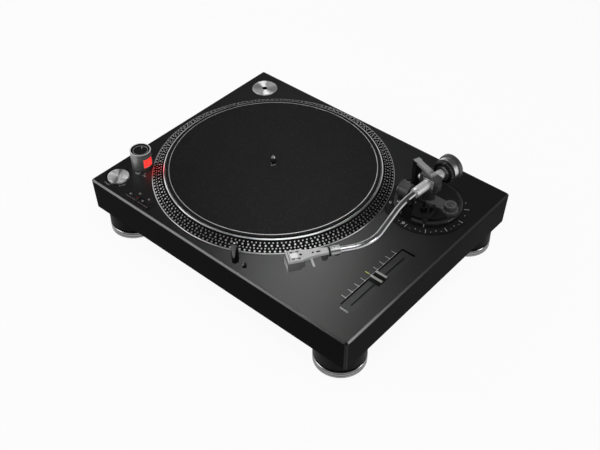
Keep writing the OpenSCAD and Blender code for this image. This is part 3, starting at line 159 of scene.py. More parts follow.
def finish(name, colour, rough, metal=0.0, vary=0.15, vary_scale=55.0, grain=1500.0, stretch=None, spun=None,
           rough_vary=0.06, depth=20, bump=0.25, speck=None, **sockets):
    """A surface with drifting colour, grain in its roughness and fine relief, whose depth is in micrometres."""
    material = bpy.data.materials.new(name)
    material.use_nodes = True
    tree = material.node_tree
    bsdf = tree.nodes["Principled BSDF"]
    bsdf.inputs["Metallic"].default_value = metal
    place = shade(tree, "ShaderNodeTexCoord").outputs["Object"]
    fine = spun_about(tree, place, spun) if spun else place
    if stretch:
        mapping = shade(tree, "ShaderNodeMapping")
        mapping.inputs["Scale"].default_value = stretch
        tree.links.new(place, mapping.inputs["Vector"])
        fine = mapping.outputs["Vector"]
    drift = noise(tree, place, vary_scale)
    grained = noise(tree, fine, grain, detail=2.0)
    tint = blend_colour(tree, span(tree, drift, 0.0, 1.0), scaled(colour, 1 - vary), scaled(colour, 1 + vary))
    if speck:
        speck_colour, speck_scale, amount = speck
        spots = noise(tree, place, speck_scale, detail=1.0)
        tint = blend_colour(tree, span(tree, spots, 0.0, amount, 0.58, 0.72), tint, speck_colour)
    tree.links.new(tint, bsdf.inputs["Base Color"])
    mixed = math_node(tree, "ADD", math_node(tree, "MULTIPLY", grained, 0.6),
                      math_node(tree, "MULTIPLY", drift, 0.4))
    tree.links.new(span(tree, mixed, max(0.02, rough - rough_vary), rough + rough_vary), bsdf.inputs["Roughness"])
    relief = shade(tree, "ShaderNodeBump")
    relief.inputs["Strength"].default_value = bump
    relief.inputs["Distance"].default_value = depth * MICRON
    tree.links.new(grained, relief.inputs["Height"])
    tree.links.new(relief.outputs["Normal"], bsdf.inputs["Normal"])
    set_in(bsdf, **sockets)
    if "Anisotropic" in sockets:
        tangent = shade(tree, "ShaderNodeTangent", direction_type="RADIAL", axis="Z")
        tree.links.new(tangent.outputs[0], bsdf.inputs["Tangent"])
    return material


def glow(name, colour, core, strength):
    """A lit moulding whose light wanders a little through it."""
    material = finish(name, colour, 0.2, vary=0.1, vary_scale=240, grain=700, Coat_Weight=0.6, Coat_Roughness=0.08)
    tree = material.node_tree
    bsdf = tree.nodes["Principled BSDF"]
    drift = noise(tree, shade(tree, "ShaderNodeTexCoord").outputs["Object"], 190)
    tree.links.new(blend_colour(tree, span(tree, drift, 0.0, 1.0), scaled(core, 0.85), core),
                   bsdf.inputs["Emission Color"])
    bsdf.inputs["Emission Strength"].default_value = strength
    return material


PAINTED = dict(grain=2400, vary=0.12, vary_scale=14)
CAST = dict(grain=1700, vary=0.05)
LATHED = dict(metal=1.0, grain=2600, vary=0.05, rough_vary=0.05, depth=1, bump=0.03, Anisotropic=0.95,
              Anisotropic_Rotation=0.25)
PRINTED = dict(grain=2500, vary=0.1)

FINISHES = {
    # The slots of the record
    "cabinet_black": dict(colour=grey(0.004, 0.0003), rough=0.31, grain=2600, vary=0.12, vary_scale=9, depth=12,
                          bump=0.3, rough_vary=0.05, Specular_IOR_Level=0.42),
    "base_black": dict(colour=grey(0.011), rough=0.62, grain=1700, depth=40, bump=0.5, Specular_IOR_Level=0.25),
    "black_plastic": dict(colour=grey(0.007, 0.0005), rough=0.34, grain=2100, Specular_IOR_Level=0.45),
    "grey_plastic": dict(colour=(0.085, 0.086, 0.09), rough=0.4, grain=2200),
    "pillar_grey": dict(colour=(0.4, 0.405, 0.4), rough=0.46, metal=1.0, grain=900, vary=0.06,
                        stretch=(1, 1, 0.05), depth=4),
    "satin_silver": dict(colour=grey(0.72, 0.01), rough=0.34, metal=0.8, grain=1600, vary=0.06, depth=6),
    "polished": dict(colour=grey(0.83, 0.01), rough=0.09, metal=1.0, grain=1200, vary=0.04, rough_vary=0.03, depth=3),
    "steel": dict(colour=grey(0.56, 0.01), rough=0.28, metal=1.0, vary=0.08, depth=8),
    "platter_alu": dict(colour=grey(0.5, 0.01), rough=0.3, metal=1.0, grain=5200, spun=PLATTER, vary=0.05,
                        rough_vary=0.05, depth=6),
    "felt": dict(colour=grey(0.0038, 0.0001), rough=0.45, vary=0.3, vary_scale=30, grain=1300, depth=200, bump=0.3,
                 speck=(grey(0.024, 0.001), 640, 0.8), Specular_IOR_Level=0.12, Sheen_Weight=0.01,
                 Sheen_Roughness=0.6),
    "rubber": dict(colour=grey(0.016), rough=0.72, grain=1900, depth=50, bump=0.5, Specular_IOR_Level=0.2),
    "brass": dict(colour=(0.78, 0.57, 0.24), rough=0.2, metal=1.0, vary=0.08, depth=6),
    "magnet": dict(colour=grey(0.03, 0.002), rough=0.55, grain=1200, depth=40),
    "board": dict(colour=(0.016, 0.09, 0.03), rough=0.45, grain=1400, vary=0.25, vary_scale=180,
                  speck=((0.5, 0.42, 0.2), 420, 0.8)),
    "coil": dict(colour=(0.62, 0.25, 0.08), rough=0.3, metal=0.9, grain=900, stretch=(0.1, 0.1, 6), depth=150,
                 bump=0.7),
    "pan_steel": dict(colour=grey(0.5, -0.01), rough=0.36, metal=1.0, grain=700, vary=0.18, vary_scale=150),
    "pad_plastic": dict(colour=(0.7, 0.69, 0.63), rough=0.45),
    "arm_alu": dict(colour=grey(0.6, 0.01), rough=0.2, metal=1.0, grain=1800, vary=0.04, rough_vary=0.02, depth=1,
                    bump=0.1),
    # Cabinet and feet
    # The sides and round corners are darker, near-matt copies of the deck paint: painted shade.
    "side_shaded_black": dict(colour=grey(0.0025, 0.0002), rough=0.42, depth=15, Specular_IOR_Level=0.008, **PAINTED),
    "corner_shaded_black": dict(colour=grey(0.003, 0.0002), rough=0.3, depth=8, Specular_IOR_Level=0.1, **PAINTED),
    "edge_black": dict(colour=grey(0.004, 0.0002), rough=0.24, depth=8, Specular_IOR_Level=0.6, **PAINTED),
    "neck_black": dict(colour=grey(0.0035, 0.0002), rough=0.5, grain=1800, Specular_IOR_Level=0.05),
    "foot_chrome": dict(colour=grey(0.27, 0.005), rough=0.24, metal=1.0, vary=0.06, depth=5),
    # Platter
    # The rim's own dark finish; rim_beads also uses it for a band of painted shade.
    "rim_dark_and_gap_shade": dict(colour=grey(0.008, 0.0005), rough=0.38, grain=4200, spun=PLATTER, vary=0.2, depth=6,
                     Specular_IOR_Level=0.0),
    "bead_bright": dict(colour=grey(0.68, 0.01), rough=0.3, metal=1.0, grain=5200, spun=PLATTER, vary=0.04, depth=3),
    "dot_bright": dict(colour=grey(0.45), rough=0.34, metal=1.0, grain=2600, vary=0.05, rough_vary=0.04, depth=3),
    "spindle_steel": dict(colour=grey(0.3, 0.005), rough=0.22, metal=1.0, vary=0.06, depth=4),
    # Controls
    "start_metal": dict(colour=grey(0.8), rough=0.42, spun=START, **LATHED),
    "adapter_metal": dict(colour=grey(0.84), rough=0.52, spun=ADAPTER, **LATHED),
    "button_black": dict(colour=grey(0.005, 0.0005), rough=0.26, grain=2100, depth=10, Specular_IOR_Level=0.6),
    "soft_black": dict(colour=grey(0.0055, 0.0005), rough=0.5, grain=1800, Specular_IOR_Level=0.13),
    "gloss_black": dict(colour=grey(0.003, 0.0004), rough=0.1, depth=4, rough_vary=0.03, Specular_IOR_Level=0.95),
    "ridge_grey": dict(colour=grey(0.42, -0.02), rough=0.38, metal=0.5, grain=1800, depth=8),
    "lip_silver": dict(colour=grey(0.82), rough=0.45, metal=0.35, grain=1600, vary=0.04, depth=4),
    # Tonearm
    "shell_silver": dict(colour=grey(0.56, 0.005), rough=0.44, metal=0.2, depth=6, **CAST),
    # The headshell's root: the same cast metal made darker, painted shade under the plate.
    "root_shaded_grey": dict(colour=grey(0.1, 0.003), rough=0.4, metal=0.4, depth=6, **CAST),
    "cart_grey": dict(colour=grey(0.14, 0.003), rough=0.45, grain=1900, vary=0.08, depth=10),
    "patch_silver": dict(colour=grey(0.82), rough=0.4, metal=0.25, grain=1700, vary=0.04, depth=5),
    "sleeve_silver": dict(colour=grey(0.72, 0.005), rough=0.46, metal=0.5, depth=5, **CAST),
    "drum_silver": dict(colour=grey(0.62, 0.01), rough=0.3, metal=1.0, depth=5, **CAST),
    "weight_silver": dict(colour=grey(0.4, 0.005), rough=0.28, metal=1.0, depth=5, **CAST),
    "bracket_grey": dict(colour=grey(0.38, 0.005), rough=0.42, metal=0.5, depth=6, **CAST),
    "yoke_grey": dict(colour=grey(0.1, 0.003), rough=0.36, metal=0.8, grain=1700, vary=0.06, depth=8),
    "block_grey": dict(colour=grey(0.07, 0.002), rough=0.42, grain=2000, depth=15),
    "drum_grey": dict(colour=grey(0.065, 0.002), rough=0.4, metal=0.3, grain=2000, depth=15),
    # Prints, painted shade for holes and recesses, an unlit lamp, and plug rings
    "print_pale": dict(colour=grey(0.56), rough=0.55, vary_scale=400, **PRINTED),
    "print_dim": dict(colour=grey(0.24), rough=0.5, vary_scale=400, **PRINTED),
    "print_silver": dict(colour=grey(0.6), rough=0.35, metal=0.6, vary_scale=300, **PRINTED),
    "hole_shade_and_unlit_lamp": dict(colour=grey(0.004), rough=0.7, Specular_IOR_Level=0.1),
    "ring_white": dict(colour=grey(0.7, -0.02), rough=0.4),
    "ring_red": dict(colour=(0.5, 0.02, 0.018), rough=0.4),
}
# Colour of the moulding, colour of its light and strength
GLOWS = {
    "red_lens": ((0.75, 0.02, 0.015), (1.0, 0.04, 0.03), 1.1),
    "lens_pale": ((0.8, 0.16, 0.13), (1.0, 0.16, 0.13), 0.7),
    "led_green": ((0.4, 0.42, 0.06), (0.62, 0.64, 0.08), 0.55),
    "led_red": ((0.05, 0.006, 0.006), (0.4, 0.02, 0.02), 0.06),
    # A glowing pale line on each speed button's front edge: a painted highlight, not a lamp.
    "edge_highlight_pink": ((0.22, 0.17, 0.17), (0.6, 0.46, 0.46), 0.04),
}
mats = {name: finish(name, **values) for name, values in FINISHES.items()}
mats.update({name: glow(name, *values) for name, values in GLOWS.items()})


# Mesh building

def coat(mesh, finishes, pick=None):
    """Gives a mesh its finishes; pick(centre in millimetres, normal) says which of them a face has."""
    mesh.materials.clear()
    for name in finishes:
        mesh.materials.append(mats[name])
    if pick:
        mesh.polygons.foreach_set("material_index", [pick(p.center / MM, p.normal) for p in mesh.polygons])


def place_piece(name, mesh, body, sharp, smooth=True):
    """Puts a mesh in the scene as a piece that rides on a body; edges over sharp degrees stay hard."""
    mesh.polygons.foreach_set("use_smooth", [smooth] * len(mesh.polygons))
    mesh.set_sharp_from_angle(angle=math.radians(sharp))
    made = bpy.data.objects.new(name, mesh)
    bpy.context.scene.collection.objects.link(made)
    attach(made, body)
    return made


class Build:
    """Gathers vertices and faces in millimetres, with a finish number, or mark, for each face."""

    def __init__(self):
        self.points, self.faces, self.marks = [], [], []

    def add(self, points, faces, marks, matrix=None):
        start = len(self.points)
        self.points += [matrix @ Vector(p) if matrix else Vector(p) for p in points]
        self.faces += [[start + i for i in face] for face in faces]
        self.marks += marks

    def rings(self, rings, mark=0, matrix=None, close=True, marks=None):
        """Skins a list of rings that have the same number of points; marks has a number for each band."""
        n, bands = len(rings[0]), len(rings) - 1
        marks = marks or [mark] * bands
        faces, own = [], []
        for k in range(bands):
            for i in range(n):
                j = (i + 1) % n
                faces.append((k * n + i, k * n + j, (k + 1) * n + j, (k + 1) * n + i))
                own.append(marks[k])
        if close:
            faces.append(tuple(reversed(range(n))))
            faces.append(tuple(bands * n + i for i in range(n)))
            own += [marks[0], marks[-1]]
        self.add([p for ring in rings for p in ring], faces, own, matrix)

    def lathe(self, profile, n=64, mark=0, matrix=None, shape=None, close=True, marks=None):
        """Turns (radius, height) pairs about z; shape(ring, angle, radius) may change a ring's radius."""
        rings = []
        for k, (r, z) in enumerate(profile):
            ring = []
            for i in range(n):
                a = 2 * math.pi * i / n
                rr = shape(k, a, r) if shape else r
                ring.append((rr * math.cos(a), rr * math.sin(a), z))
            rings.append(ring)
        self.rings(rings, mark, matrix, close, marks)

    def slab(self, outline, low, high, matrix, mark=0, chamfer=0.0):
        """A flat plate of any outline, with its upper edge eased if asked for."""
        rings = [[(x, y, low) for x, y in outline]]
        if chamfer:
            cx = sum(p[0] for p in outline) / len(outline)
            cy = sum(p[1] for p in outline) / len(outline)
            rings.append([(x, y, high - chamfer) for x, y in outline])
            inner = []
            for x, y in outline:
                d = math.hypot(x - cx, y - cy) or 1.0
                inner.append((x - chamfer * (x - cx) / d, y - chamfer * (y - cy) / d, high))
            rings.append(inner)
        else:
            rings.append([(x, y, high) for x, y in outline])
        self.rings(rings, mark, matrix)

    def bar(self, x0, x1, y0, y1, matrix, high=PRINT, mark=0):
        """A thin oblong that stands on the matrix's own plane."""
        self.slab([(x0, y0), (x1, y0), (x1, y1), (x0, y1)], 0, high, matrix, mark)

    def tick(self, half_x, half_y, matrix, high=PRINT, mark=0):
        """A bar about the matrix's origin."""
        self.bar(-half_x, half_x, -half_y, half_y, matrix, high, mark)

    def words(self, text, size, matrix):
        """Printed words, as a very thin raised layer about the matrix's origin."""
        curve = bpy.data.curves.new("words", "FONT")
        curve.body = text
        curve.size = size
        curve.align_x = "CENTER"
        curve.align_y = "CENTER"
        curve.resolution_u = 3
        curve.extrude = PRINT / 2
        holder = bpy.data.objects.new("words", curve)
        bpy.context.scene.collection.objects.link(holder)
        bpy.context.view_layer.update()
        mesh = bpy.data.meshes.new_from_object(holder.evaluated_get(bpy.context.evaluated_depsgraph_get()))
        raised = matrix @ Matrix.Translation((0, 0, PRINT / 2))
        faces = [p.vertices for p in mesh.polygons]
        self.add([v.co for v in mesh.vertices], faces, [0] * len(faces), raised)
        bpy.data.objects.remove(holder)
        bpy.data.curves.remove(curve)
        bpy.data.meshes.remove(mesh)

    def arc(self, text, size, centre, radius, middle, z):
        """Printed letters that follow a circle and read from outside it; middle in degrees."""
        pitch = math.degrees(size * 0.82 / radius)
        for k, letter in enumerate(text):
            turn = middle + pitch * (k - (len(text) - 1) / 2)
            self.words(letter, size, at(*polar(centre, radius, turn), z, math.radians(turn + 90)))

    def piece(self, name, body, finishes, smooth=True, sharp=35):
        mesh = bpy.data.meshes.new(name)
        mesh.from_pydata([p * MM for p in self.points], [], self.faces)
        bm = bmesh.new()
        bm.from_mesh(mesh)
        bmesh.ops.recalc_face_normals(bm, faces=bm.faces)
        bm.to_mesh(mesh)
        bm.free()
        coat(mesh, finishes)
        mesh.polygons.foreach_set("material_index", self.marks)
        return place_piece(name, mesh, body, sharp, smooth)


def at(x, y, z, turn=0.0):
    return Matrix.Translation((x, y, z)) @ Matrix.Rotation(turn, 4, "Z")


def polar(centre, radius, turn):
    """A point on a circle; turn in degrees."""
    a = math.radians(turn)
    return centre[0] + radius * math.cos(a), centre[1] + radius * math.sin(a)


def frame_of(origin, along, up):
    """A matrix whose x runs along and whose z points up."""
    z = Vector(up).normalized()
    x = Vector(along)
    x = (x - z * x.dot(z)).normalized()
    y = z.cross(x)
    return Matrix.Translation(origin) @ Matrix((x, y, z)).transposed().to_4x4()


def rounded(w, h, r):
    """The outline of a rectangle with round corners, about its middle."""
    points, steps = [], 5
    for k, (sx, sy) in enumerate(((1, 1), (-1, 1), (-1, -1), (1, -1))):
        for i in range(steps + 1):
            a = math.pi / 2 * (k + i / steps)
            points.append((sx * (w / 2 - r) + r * math.cos(a), sy * (h / 2 - r) + r * math.sin(a)))
    return points


def hoop(radius, rise):
    """The profile of a narrow ring round a shaft."""
    return [(radius, -0.35), (radius + rise, -0.2), (radius + rise, 0.2), (radius, 0.35)]


def flat_ring(outer, inner, high):
    """The profile of a flat ring on a face."""
    return [(outer, 0), (outer, high), (inner, high), (inner, 0)]


def screw_head(build, matrix, r, h):
    """A domed screw head whose cross recess is painted dark: painted shade."""
    half, reach = r * 0.14, r * 0.5
    profile = [(r, 0), (r, h * 0.45), (r * 0.93, h * 0.72), (r * 0.74, h * 0.93), (r * 0.62, h),
               (reach, h), (reach, h * 0.35)]
    recess = (5, 6)

    def shape(ring, a, radius):
        if ring not in recess:
            return radius
        b = abs((a + math.pi / 4) % (math.pi / 2) - math.pi / 4)
        return reach / math.cos(b) if math.tan(b) * reach < half else half / math.sin(b)

    build.lathe(profile, n=48, matrix=matrix, shape=shape, marks=[0] * 5 + [1])


# Stage, lights and camera, in metres

FLOOR_HALF = 7.0
FLOOR_DROP = 0.0002
FLOOR_GLOW = 0.93
SKY = ((0.0, 1.0), (0.1, 0.95), (0.3, 0.36), (0.5, 0.07), (0.7, 0.035), (1.0, 0.045))
CAMERA = (0.6449, -0.7412, 0.9209)
CAMERA_AIM = (0.052464, -0.057482, 0.0845)


def make_floor():
    """A white floor that looks evenly lit and still takes shadows."""
    mesh = bpy.data.meshes.new("floor")
    corners = [(x * FLOOR_HALF, y * FLOOR_HALF, 0) for x, y in ((-1, -1), (1, -1), (1, 1), (-1, 1))]
    mesh.from_pydata(corners, [], [(0, 1, 2, 3)])
    floor = bpy.data.objects.new("floor", mesh)
    bpy.context.scene.collection.objects.link(floor)
    floor.location.z = -FLOOR_DROP
    material = bpy.data.materials.new("floor_white")
    material.use_nodes = True
    tree = material.node_tree
    bsdf = tree.nodes["Principled BSDF"]
    set_in(bsdf, Base_Color=(0.95, 0.95, 0.95, 1), Roughness=0.8, Specular_IOR_Level=0.1)
    light = shade(tree, "ShaderNodeLightPath")
    seen = math_node(tree, "MAXIMUM", light.outputs["Is Camera Ray"], light.outputs["Is Glossy Ray"])
    seen = math_node(tree, "MAXIMUM", seen, light.outputs["Is Transmission Ray"])
    white = shade(tree, "ShaderNodeEmission")
    mix = shade(tree, "ShaderNodeMixShader")
    tree.links.new(math_node(tree, "MULTIPLY", seen, FLOOR_GLOW), mix.inputs["Fac"])
    tree.links.new(bsdf.outputs[0], mix.inputs[1])
    tree.links.new(white.outputs[0], mix.inputs[2])
    tree.links.new(mix.outputs[0], tree.nodes["Material Output"].inputs["Surface"])
    mesh.materials.append(material)


def make_world():
    """A studio that is white at the horizon and dark overhead."""
    world = bpy.data.worlds.new("studio")
    bpy.context.scene.world = world
    world.use_nodes = True
    tree = world.node_tree
    place = shade(tree, "ShaderNodeTexCoord")
    parts = shade(tree, "ShaderNodeSeparateXYZ")
    tree.links.new(place.outputs["Generated"], parts.inputs[0])
    ramp = shade(tree, "ShaderNodeValToRGB")
    stops = ramp.color_ramp.elements
    for stop, (where, level) in ((stops[0], SKY[0]), (stops[1], SKY[-1])):
        stop.position = where
        stop.color = (level, level, level, 1)
    for where, level in SKY[1:-1]:
        stops.new(where).color = (level, level, level, 1)
    tree.links.new(parts.outputs[2], ramp.inputs["Fac"])
    tree.links.new(ramp.outputs["Color"], tree.nodes["Background"].inputs["Color"])


def lamp(name, place, aim, size, power, shadow=True, colour=(1, 1, 1)):
    data = bpy.data.lights.new(name, "AREA")
    data.shape = "RECTANGLE"
    data.size, data.size_y = size
    data.energy = power
    data.color = colour
    data.use_shadow = shadow
    data.cycles.use_multiple_importance_sampling = shadow
    made = bpy.data.objects.new(name, data)
    made.location = place
    made.rotation_euler = (Vector(aim) - Vector(place)).to_track_quat("-Z", "Y").to_euler()
    bpy.context.scene.collection.objects.link(made)


def make_lights():
    """The key lamp gives the deck's highlight, and the two at the corners give the lines on its bevels."""
    deck = DECK * MM
    lamp("key", (-0.508, 0.587, 1.051), (0.11, -0.125, 0.085), (0.24, 0.24), 1.75, shadow=False)
    lamp("overhead", (0.36, -0.2, 1.6), (0.0, -0.05, 0.085), (1.05, 1.05), 9)
    lamp("left", (-1.43, -0.1, 0.75), (-0.1, 0.0, 0.085), (0.5, 0.7), 2)
    lamp("front_left", (-0.88, -1.13, 0.73), (-0.08, -0.175, 0.08), (0.95, 0.36), 5.6)
    lamp("strobe", (-0.1806, -0.1004, deck + 0.015), (-0.172, -0.0956, deck + 0.007), (0.008, 0.008), 0.001,
         colour=(1.0, 0.06, 0.09))
    lamp("back_right", (1.14, 0.42, 0.54), (0.22, -0.14, 0.08), (0.24, 0.34), 1.9)


def make_camera():
    data = bpy.data.cameras.new("camera")
    data.lens = 57.02
    data.sensor_width = 36
    data.sensor_fit = "HORIZONTAL"
    camera = bpy.data.objects.new("camera", data)
    camera.location = CAMERA
    camera.rotation_euler = (Vector(CAMERA_AIM) - camera.location).to_track_quat("-Z", "Y").to_euler()
    bpy.context.scene.collection.objects.link(camera)
    bpy.context.scene.camera = camera


bpy.context.scene.view_settings.view_transform = "Standard"
make_camera()
make_floor()
make_world()
make_lights()


# Finishes of the solids

WELD = 0.000004
EASE_OVER = 38
FLAT_UNDER = 0.4


def paint(node, finishes, pick=None):
    """Gives a solid its finishes."""
    coat(nodes[node].data, finishes, pick)


def soften(node, width, finishes, pick=None):
    """A copy of a solid with eased edges, which stands for it."""
    source = nodes[node].data
    mesh = bpy.data.meshes.new(node + "_eased")
    mesh.from_pydata([v.co for v in source.vertices], [], [p.vertices for p in source.polygons])
    bm = bmesh.new()
    bm.from_mesh(mesh)
    bmesh.ops.remove_doubles(bm, verts=bm.verts, dist=WELD)
    bmesh.ops.dissolve_degenerate(bm, edges=bm.edges, dist=WELD / 2)
    bmesh.ops.dissolve_limit(bm, angle_limit=math.radians(FLAT_UNDER), verts=bm.verts, edges=bm.edges)
    limit = math.radians(EASE_OVER)
    edges = [e for e in bm.edges if len(e.link_faces) == 2 and e.calc_face_angle(0.0) > limit]
    bmesh.ops.bevel(bm, geom=edges, offset=width * MM, offset_type="OFFSET", segments=2, profile=0.6,
                    affect="EDGES", clamp_overlap=True)
    bmesh.ops.recalc_face_normals(bm, faces=bm.faces)
    bm.to_mesh(mesh)
    bm.free()
    coat(mesh, finishes, pick)
    made = place_piece(node + "_eased", mesh, body_of[node], 50)
    weigh = made.modifiers.new("weigh", "WEIGHTED_NORMAL")
    weigh.keep_sharp = True
    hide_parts(node)


# Pickers say which finish of a node's list a face has, from its centre and normal

def over_deck(c):
    return c.z - DECK


def away(c, centre):
    return math.hypot(c.x - centre[0], c.y - centre[1])


def in_arm(c):
    """Across and along the arm, from its pivot."""
    x, y = c.x - PIVOT[0], c.y - PIVOT[1]
    return x * ARM_COS - y * ARM_SIN, x * ARM_SIN + y * ARM_COS


def cabinet_face(c, n):
    """Deck satin, bevel glossy; round corners and flat sides are darker, duller copies of its paint: painted shade.
    """
    level, leaning, square_on = 0.98, 0.25, 0.985
    if n.z > level:
        return 0
    if n.z > leaning:
        return 2
    return 1 if max(abs(n.x), abs(n.y)) > square_on else 3


def platter_face(c, n):
    """The sloping rim is dark."""
    return 1 if RIM_IN + 0.2 < away(c, PLATTER) < RIM_OUT - 0.2 and 0.3 < n.z < 0.97 else 0


def yoke_face(c, n):
    """The yoke's left cheek is bright."""
    cheek = -13.1
    return 1 if in_arm(c)[0] < cheek else 0


def bracket_face(c, n):
    """The bracket's bridge is grey on black legs."""
    bridge = 53.0
    return 0 if over_deck(c) > bridge else 1


def weight_face(c, n):
    """The counterweight's rim and back are dark."""
    rim, back = 16.6, 45.9
    across, along = in_arm(c)
    return 1 if math.hypot(across, c.z - ARM_Z) > rim or along > back else 0


def base_face(c, n):
    """The arm base is black, with a grey block under the anti-skate knob and a grey pillar."""
    plate, pillar, pillar_r = 12.05, 19, 9
    x, y = c.x - PIVOT[0], c.y - PIVOT[1]
    if over_deck(c) > pillar and math.hypot(x, y) < pillar_r:
        return 2
    return 1 if over_deck(c) > plate and x > 9 and abs(y + 0.5) < 11.2 else 0


def dial_face(c, n):
    """The power dial has a pale lip round a black sunk top."""
    lip, wall, sunk = 13.0, 13.2, 25
    r = away(c, PILLAR)
    if n.z > 0.5:
        return 1 if r > lip else 2
    return 2 if r < wall and over_deck(c) > sunk else 0


def knob_face(c, n):
    """The fader's ridges have bright tops on a black body."""
    ridge = 4.2
    return 1 if over_deck(c) > ridge and n.z > 0.3 else 0


def drum_face(c, n):
    """The height lock's left end is lighter."""
    end = 124.2
    return 1 if c.x < end else 0


def shell_face(c, n):
    """The headshell's plate is bright; the root under it is a darker copy of the cast metal: painted shade under the
    plate.
    """
    plate = 41.5
    return 1 if over_deck(c) < plate else 0


def adapter_face(c, n):
    """The adapter's hole walls are painted dark: painted shade inside the hole."""
    hole = 5.0
    return 1 if away(c, ADAPTER) < hole and n.z < 0.8 else 0


def lens_face(c, n):
    """The strobe's lens is brightest on the side of the platter."""
    return 0 if n.x > 0.7 else 1


def foot_face(c, n):
    """A foot is a rubber pad, a chrome ring and a black neck."""
    pad, ring = 1.02, 11.45
    if c.z < pad:
        return 0
    return 1 if c.z < ring else 2


for node_name, slot_name in slot_of.items():
    paint(node_name, [slot_name])
for black_node in ("force_dial", "cue_lever", "lift_bar", "arm_rest", "arm_clip", "arm_mount"):
    paint(black_node, ["soft_black"])
for plain_node, plain_finish in (("start_stop_button", "start_metal"), ("arm_sleeve", "sleeve_silver"),
                                 ("spindle", "spindle_steel"), ("lock_collar", "weight_silver"),
                                 ("stylus_lamp", "gloss_black"), ("lamp_button", "gloss_black")):
    paint(plain_node, [plain_finish])
for foot in ("front_left_foot", "front_right_foot", "rear_left_foot", "rear_right_foot"):
    paint(foot, ["rubber", "foot_chrome", "neck_black"], foot_face)
paint("top_cabinet", ["cabinet_black", "side_shaded_black", "edge_black", "corner_shaded_black"], cabinet_face)
paint("platter", ["platter_alu", "rim_dark_and_gap_shade"], platter_face)
paint("adapter_45", ["adapter_metal", "hole_shade_and_unlit_lamp"], adapter_face)
paint("strobe_lens", ["red_lens", "lens_pale"], lens_face)
paint("counterweight", ["drum_silver", "drum_grey"], weight_face)
paint("power_dial", ["pillar_grey", "lip_silver", "soft_black"], dial_face)

soften("gimbal_yoke", 0.7, ["yoke_grey", "sleeve_silver"], yoke_face)
soften("bearing_bracket", 0.5, ["bracket_grey", "soft_black"], bracket_face)
soften("arm_base", 0.6, ["soft_black", "block_grey", "yoke_grey"], base_face)
soften("fader_knob", 0.35, ["soft_black", "ridge_grey"], knob_face)
soften("height_lock_knob", 0.5, ["drum_grey", "yoke_grey"], drum_face)
soften("headshell", 0.35, ["shell_silver", "root_shaded_grey"], shell_face)
soften("cartridge", 0.5, ["cart_grey"])
soften("finger_lift", 0.3, ["shell_silver"])
soften("speed_button_33", 0.9, ["button_black"])
soften("speed_button_45", 0.9, ["button_black"])
soften("anti_skate_knob", 0.5, ["drum_grey"])


# Platter: strobe dots, beads and mat

# Radius of the row, number of dots, radius of a dot and its number of sides
DOT_ROWS = ((163.7, 160, 1.32, 16), (160.3, 216, 0.96, 12), (157.0, 133, 1.32, 16), (153.8, 180, 0.96, 12))
# Share of the dot's radius, and height over the rim
DOT_DOME = ((1.0, -0.05), (1.0, 0.03), (0.92, 0.05), (0.5, 0.07), (0.1, 0.075))


def strobe_dots():
    """Four rows of nearly flush dots on the platter's sloping rim."""
    build = Build()
    for radius, count, size, n in DOT_ROWS:
        z = DECK + RIM_LOW + (RIM_OUT - radius) * RIM_SLOPE
        dome = [(size * share, height) for share, height in DOT_DOME]
        for i in range(count):
            a = 2 * math.pi * i / count
            out = Vector((math.cos(a), math.sin(a), 0))
            up = out * RIM_SLOPE + Vector((0, 0, 1))
            side = Vector((-math.sin(a), math.cos(a), 0))
            build.lathe(dome, n=n, matrix=frame_of(Vector((*PLATTER, z)) + out * radius, side, up))
    build.piece("strobe_dots", "turning_platter", ["dot_bright"], sharp=40)


def rim_beads():
    """A bright bead at the rim's lower edge, a bright bevel at its upper one and inside that a dark band, painted
    shade in the gap to the mat.
    """
    build = Build()
    bead_r, bead_z, bead_size = 165.55, DECK + 3.1, 1.0
    turns = [math.pi * (i / 12 - 0.5) for i in range(13)]
    bead = [(bead_r + bead_size * math.cos(a), bead_z + bead_size * math.sin(a)) for a in turns]
    # The dark band is painted shade where the mat meets the platter's top.
    top, shade_band_in, shade_band_out = DECK + RIM_TOP, 147.95, 148.85
    band = [(shade_band_in, top - 0.1), (shade_band_in, top + 0.05), (shade_band_out, top + 0.05)]
    crown = [(shade_band_out, top - 0.1), (shade_band_out, top + 0.82), (149.0, top + 0.88), (150.3, top + 0.06),
             (150.45, top - 0.1)]
    for profile, mark in ((bead, 0), (band, 1), (crown, 0)):
        build.lathe(profile, n=320, mark=mark, matrix=at(*PLATTER, 0), close=False)
    build.piece("rim_beads", "turning_platter", ["bead_bright", "rim_dark_and_gap_shade"])


def felt_mat():
    """The slipmat: felt that waves a little, with a printed ring near its edge."""
    build = Build()
    low, high, edge, hole = DECK + 11.82, DECK + 14.55, 147.4, 4.6
    ring_in, ring_out = 142.15, 143.05
    radii = [5.4, 10, 20, 32, 45, 60, 75, 90, 104, 116, 126, 134, 140, ring_in, 142.6, ring_out, 144.6, 146.2]
    profile = [(hole, low), (hole, high - 0.7), (hole + 0.25, high - 0.2)] + [(r, high) for r in radii]
    profile += [(146.9, high - 0.12), (147.25, high - 0.5), (edge, high - 1.1), (edge, low + 0.6),
                (edge - 0.4, low + 0.05), (edge - 1.2, low), (hole, low)]
    marks = []
    for (r0, _), (r1, _) in zip(profile, profile[1:]):
        marks.append(1 if ring_in <= min(r0, r1) and max(r0, r1) <= ring_out else 0)
    n, wave_height = 240, 0.018
    waves = [(rng.uniform(0, 6.28), rng.uniform(0, 6.28)) for _ in range(4)]
    rings = []
    for r, z in profile:
        ring = []
        for i in range(n):
            a = 2 * math.pi * i / n
            lift = 0.0
            if z >= high - 0.01:
                for k, (p, q) in enumerate(waves):
                    lift += wave_height * math.sin((k + 2) * a + p) * math.cos(r / (17 + 9 * k) + q)
            ring.append((PLATTER[0] + r * math.cos(a), PLATTER[1] + r * math.sin(a), z + lift))
        rings.append(ring)
    build.rings(rings, close=False, marks=marks)
    made = build.piece("felt_mat", "mat", ["felt", "print_silver"])
    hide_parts("slipmat")


strobe_dots()
rim_beads()
felt_mat()


# Deck: printed marks and the tempo light

SCALE_X = 171.0


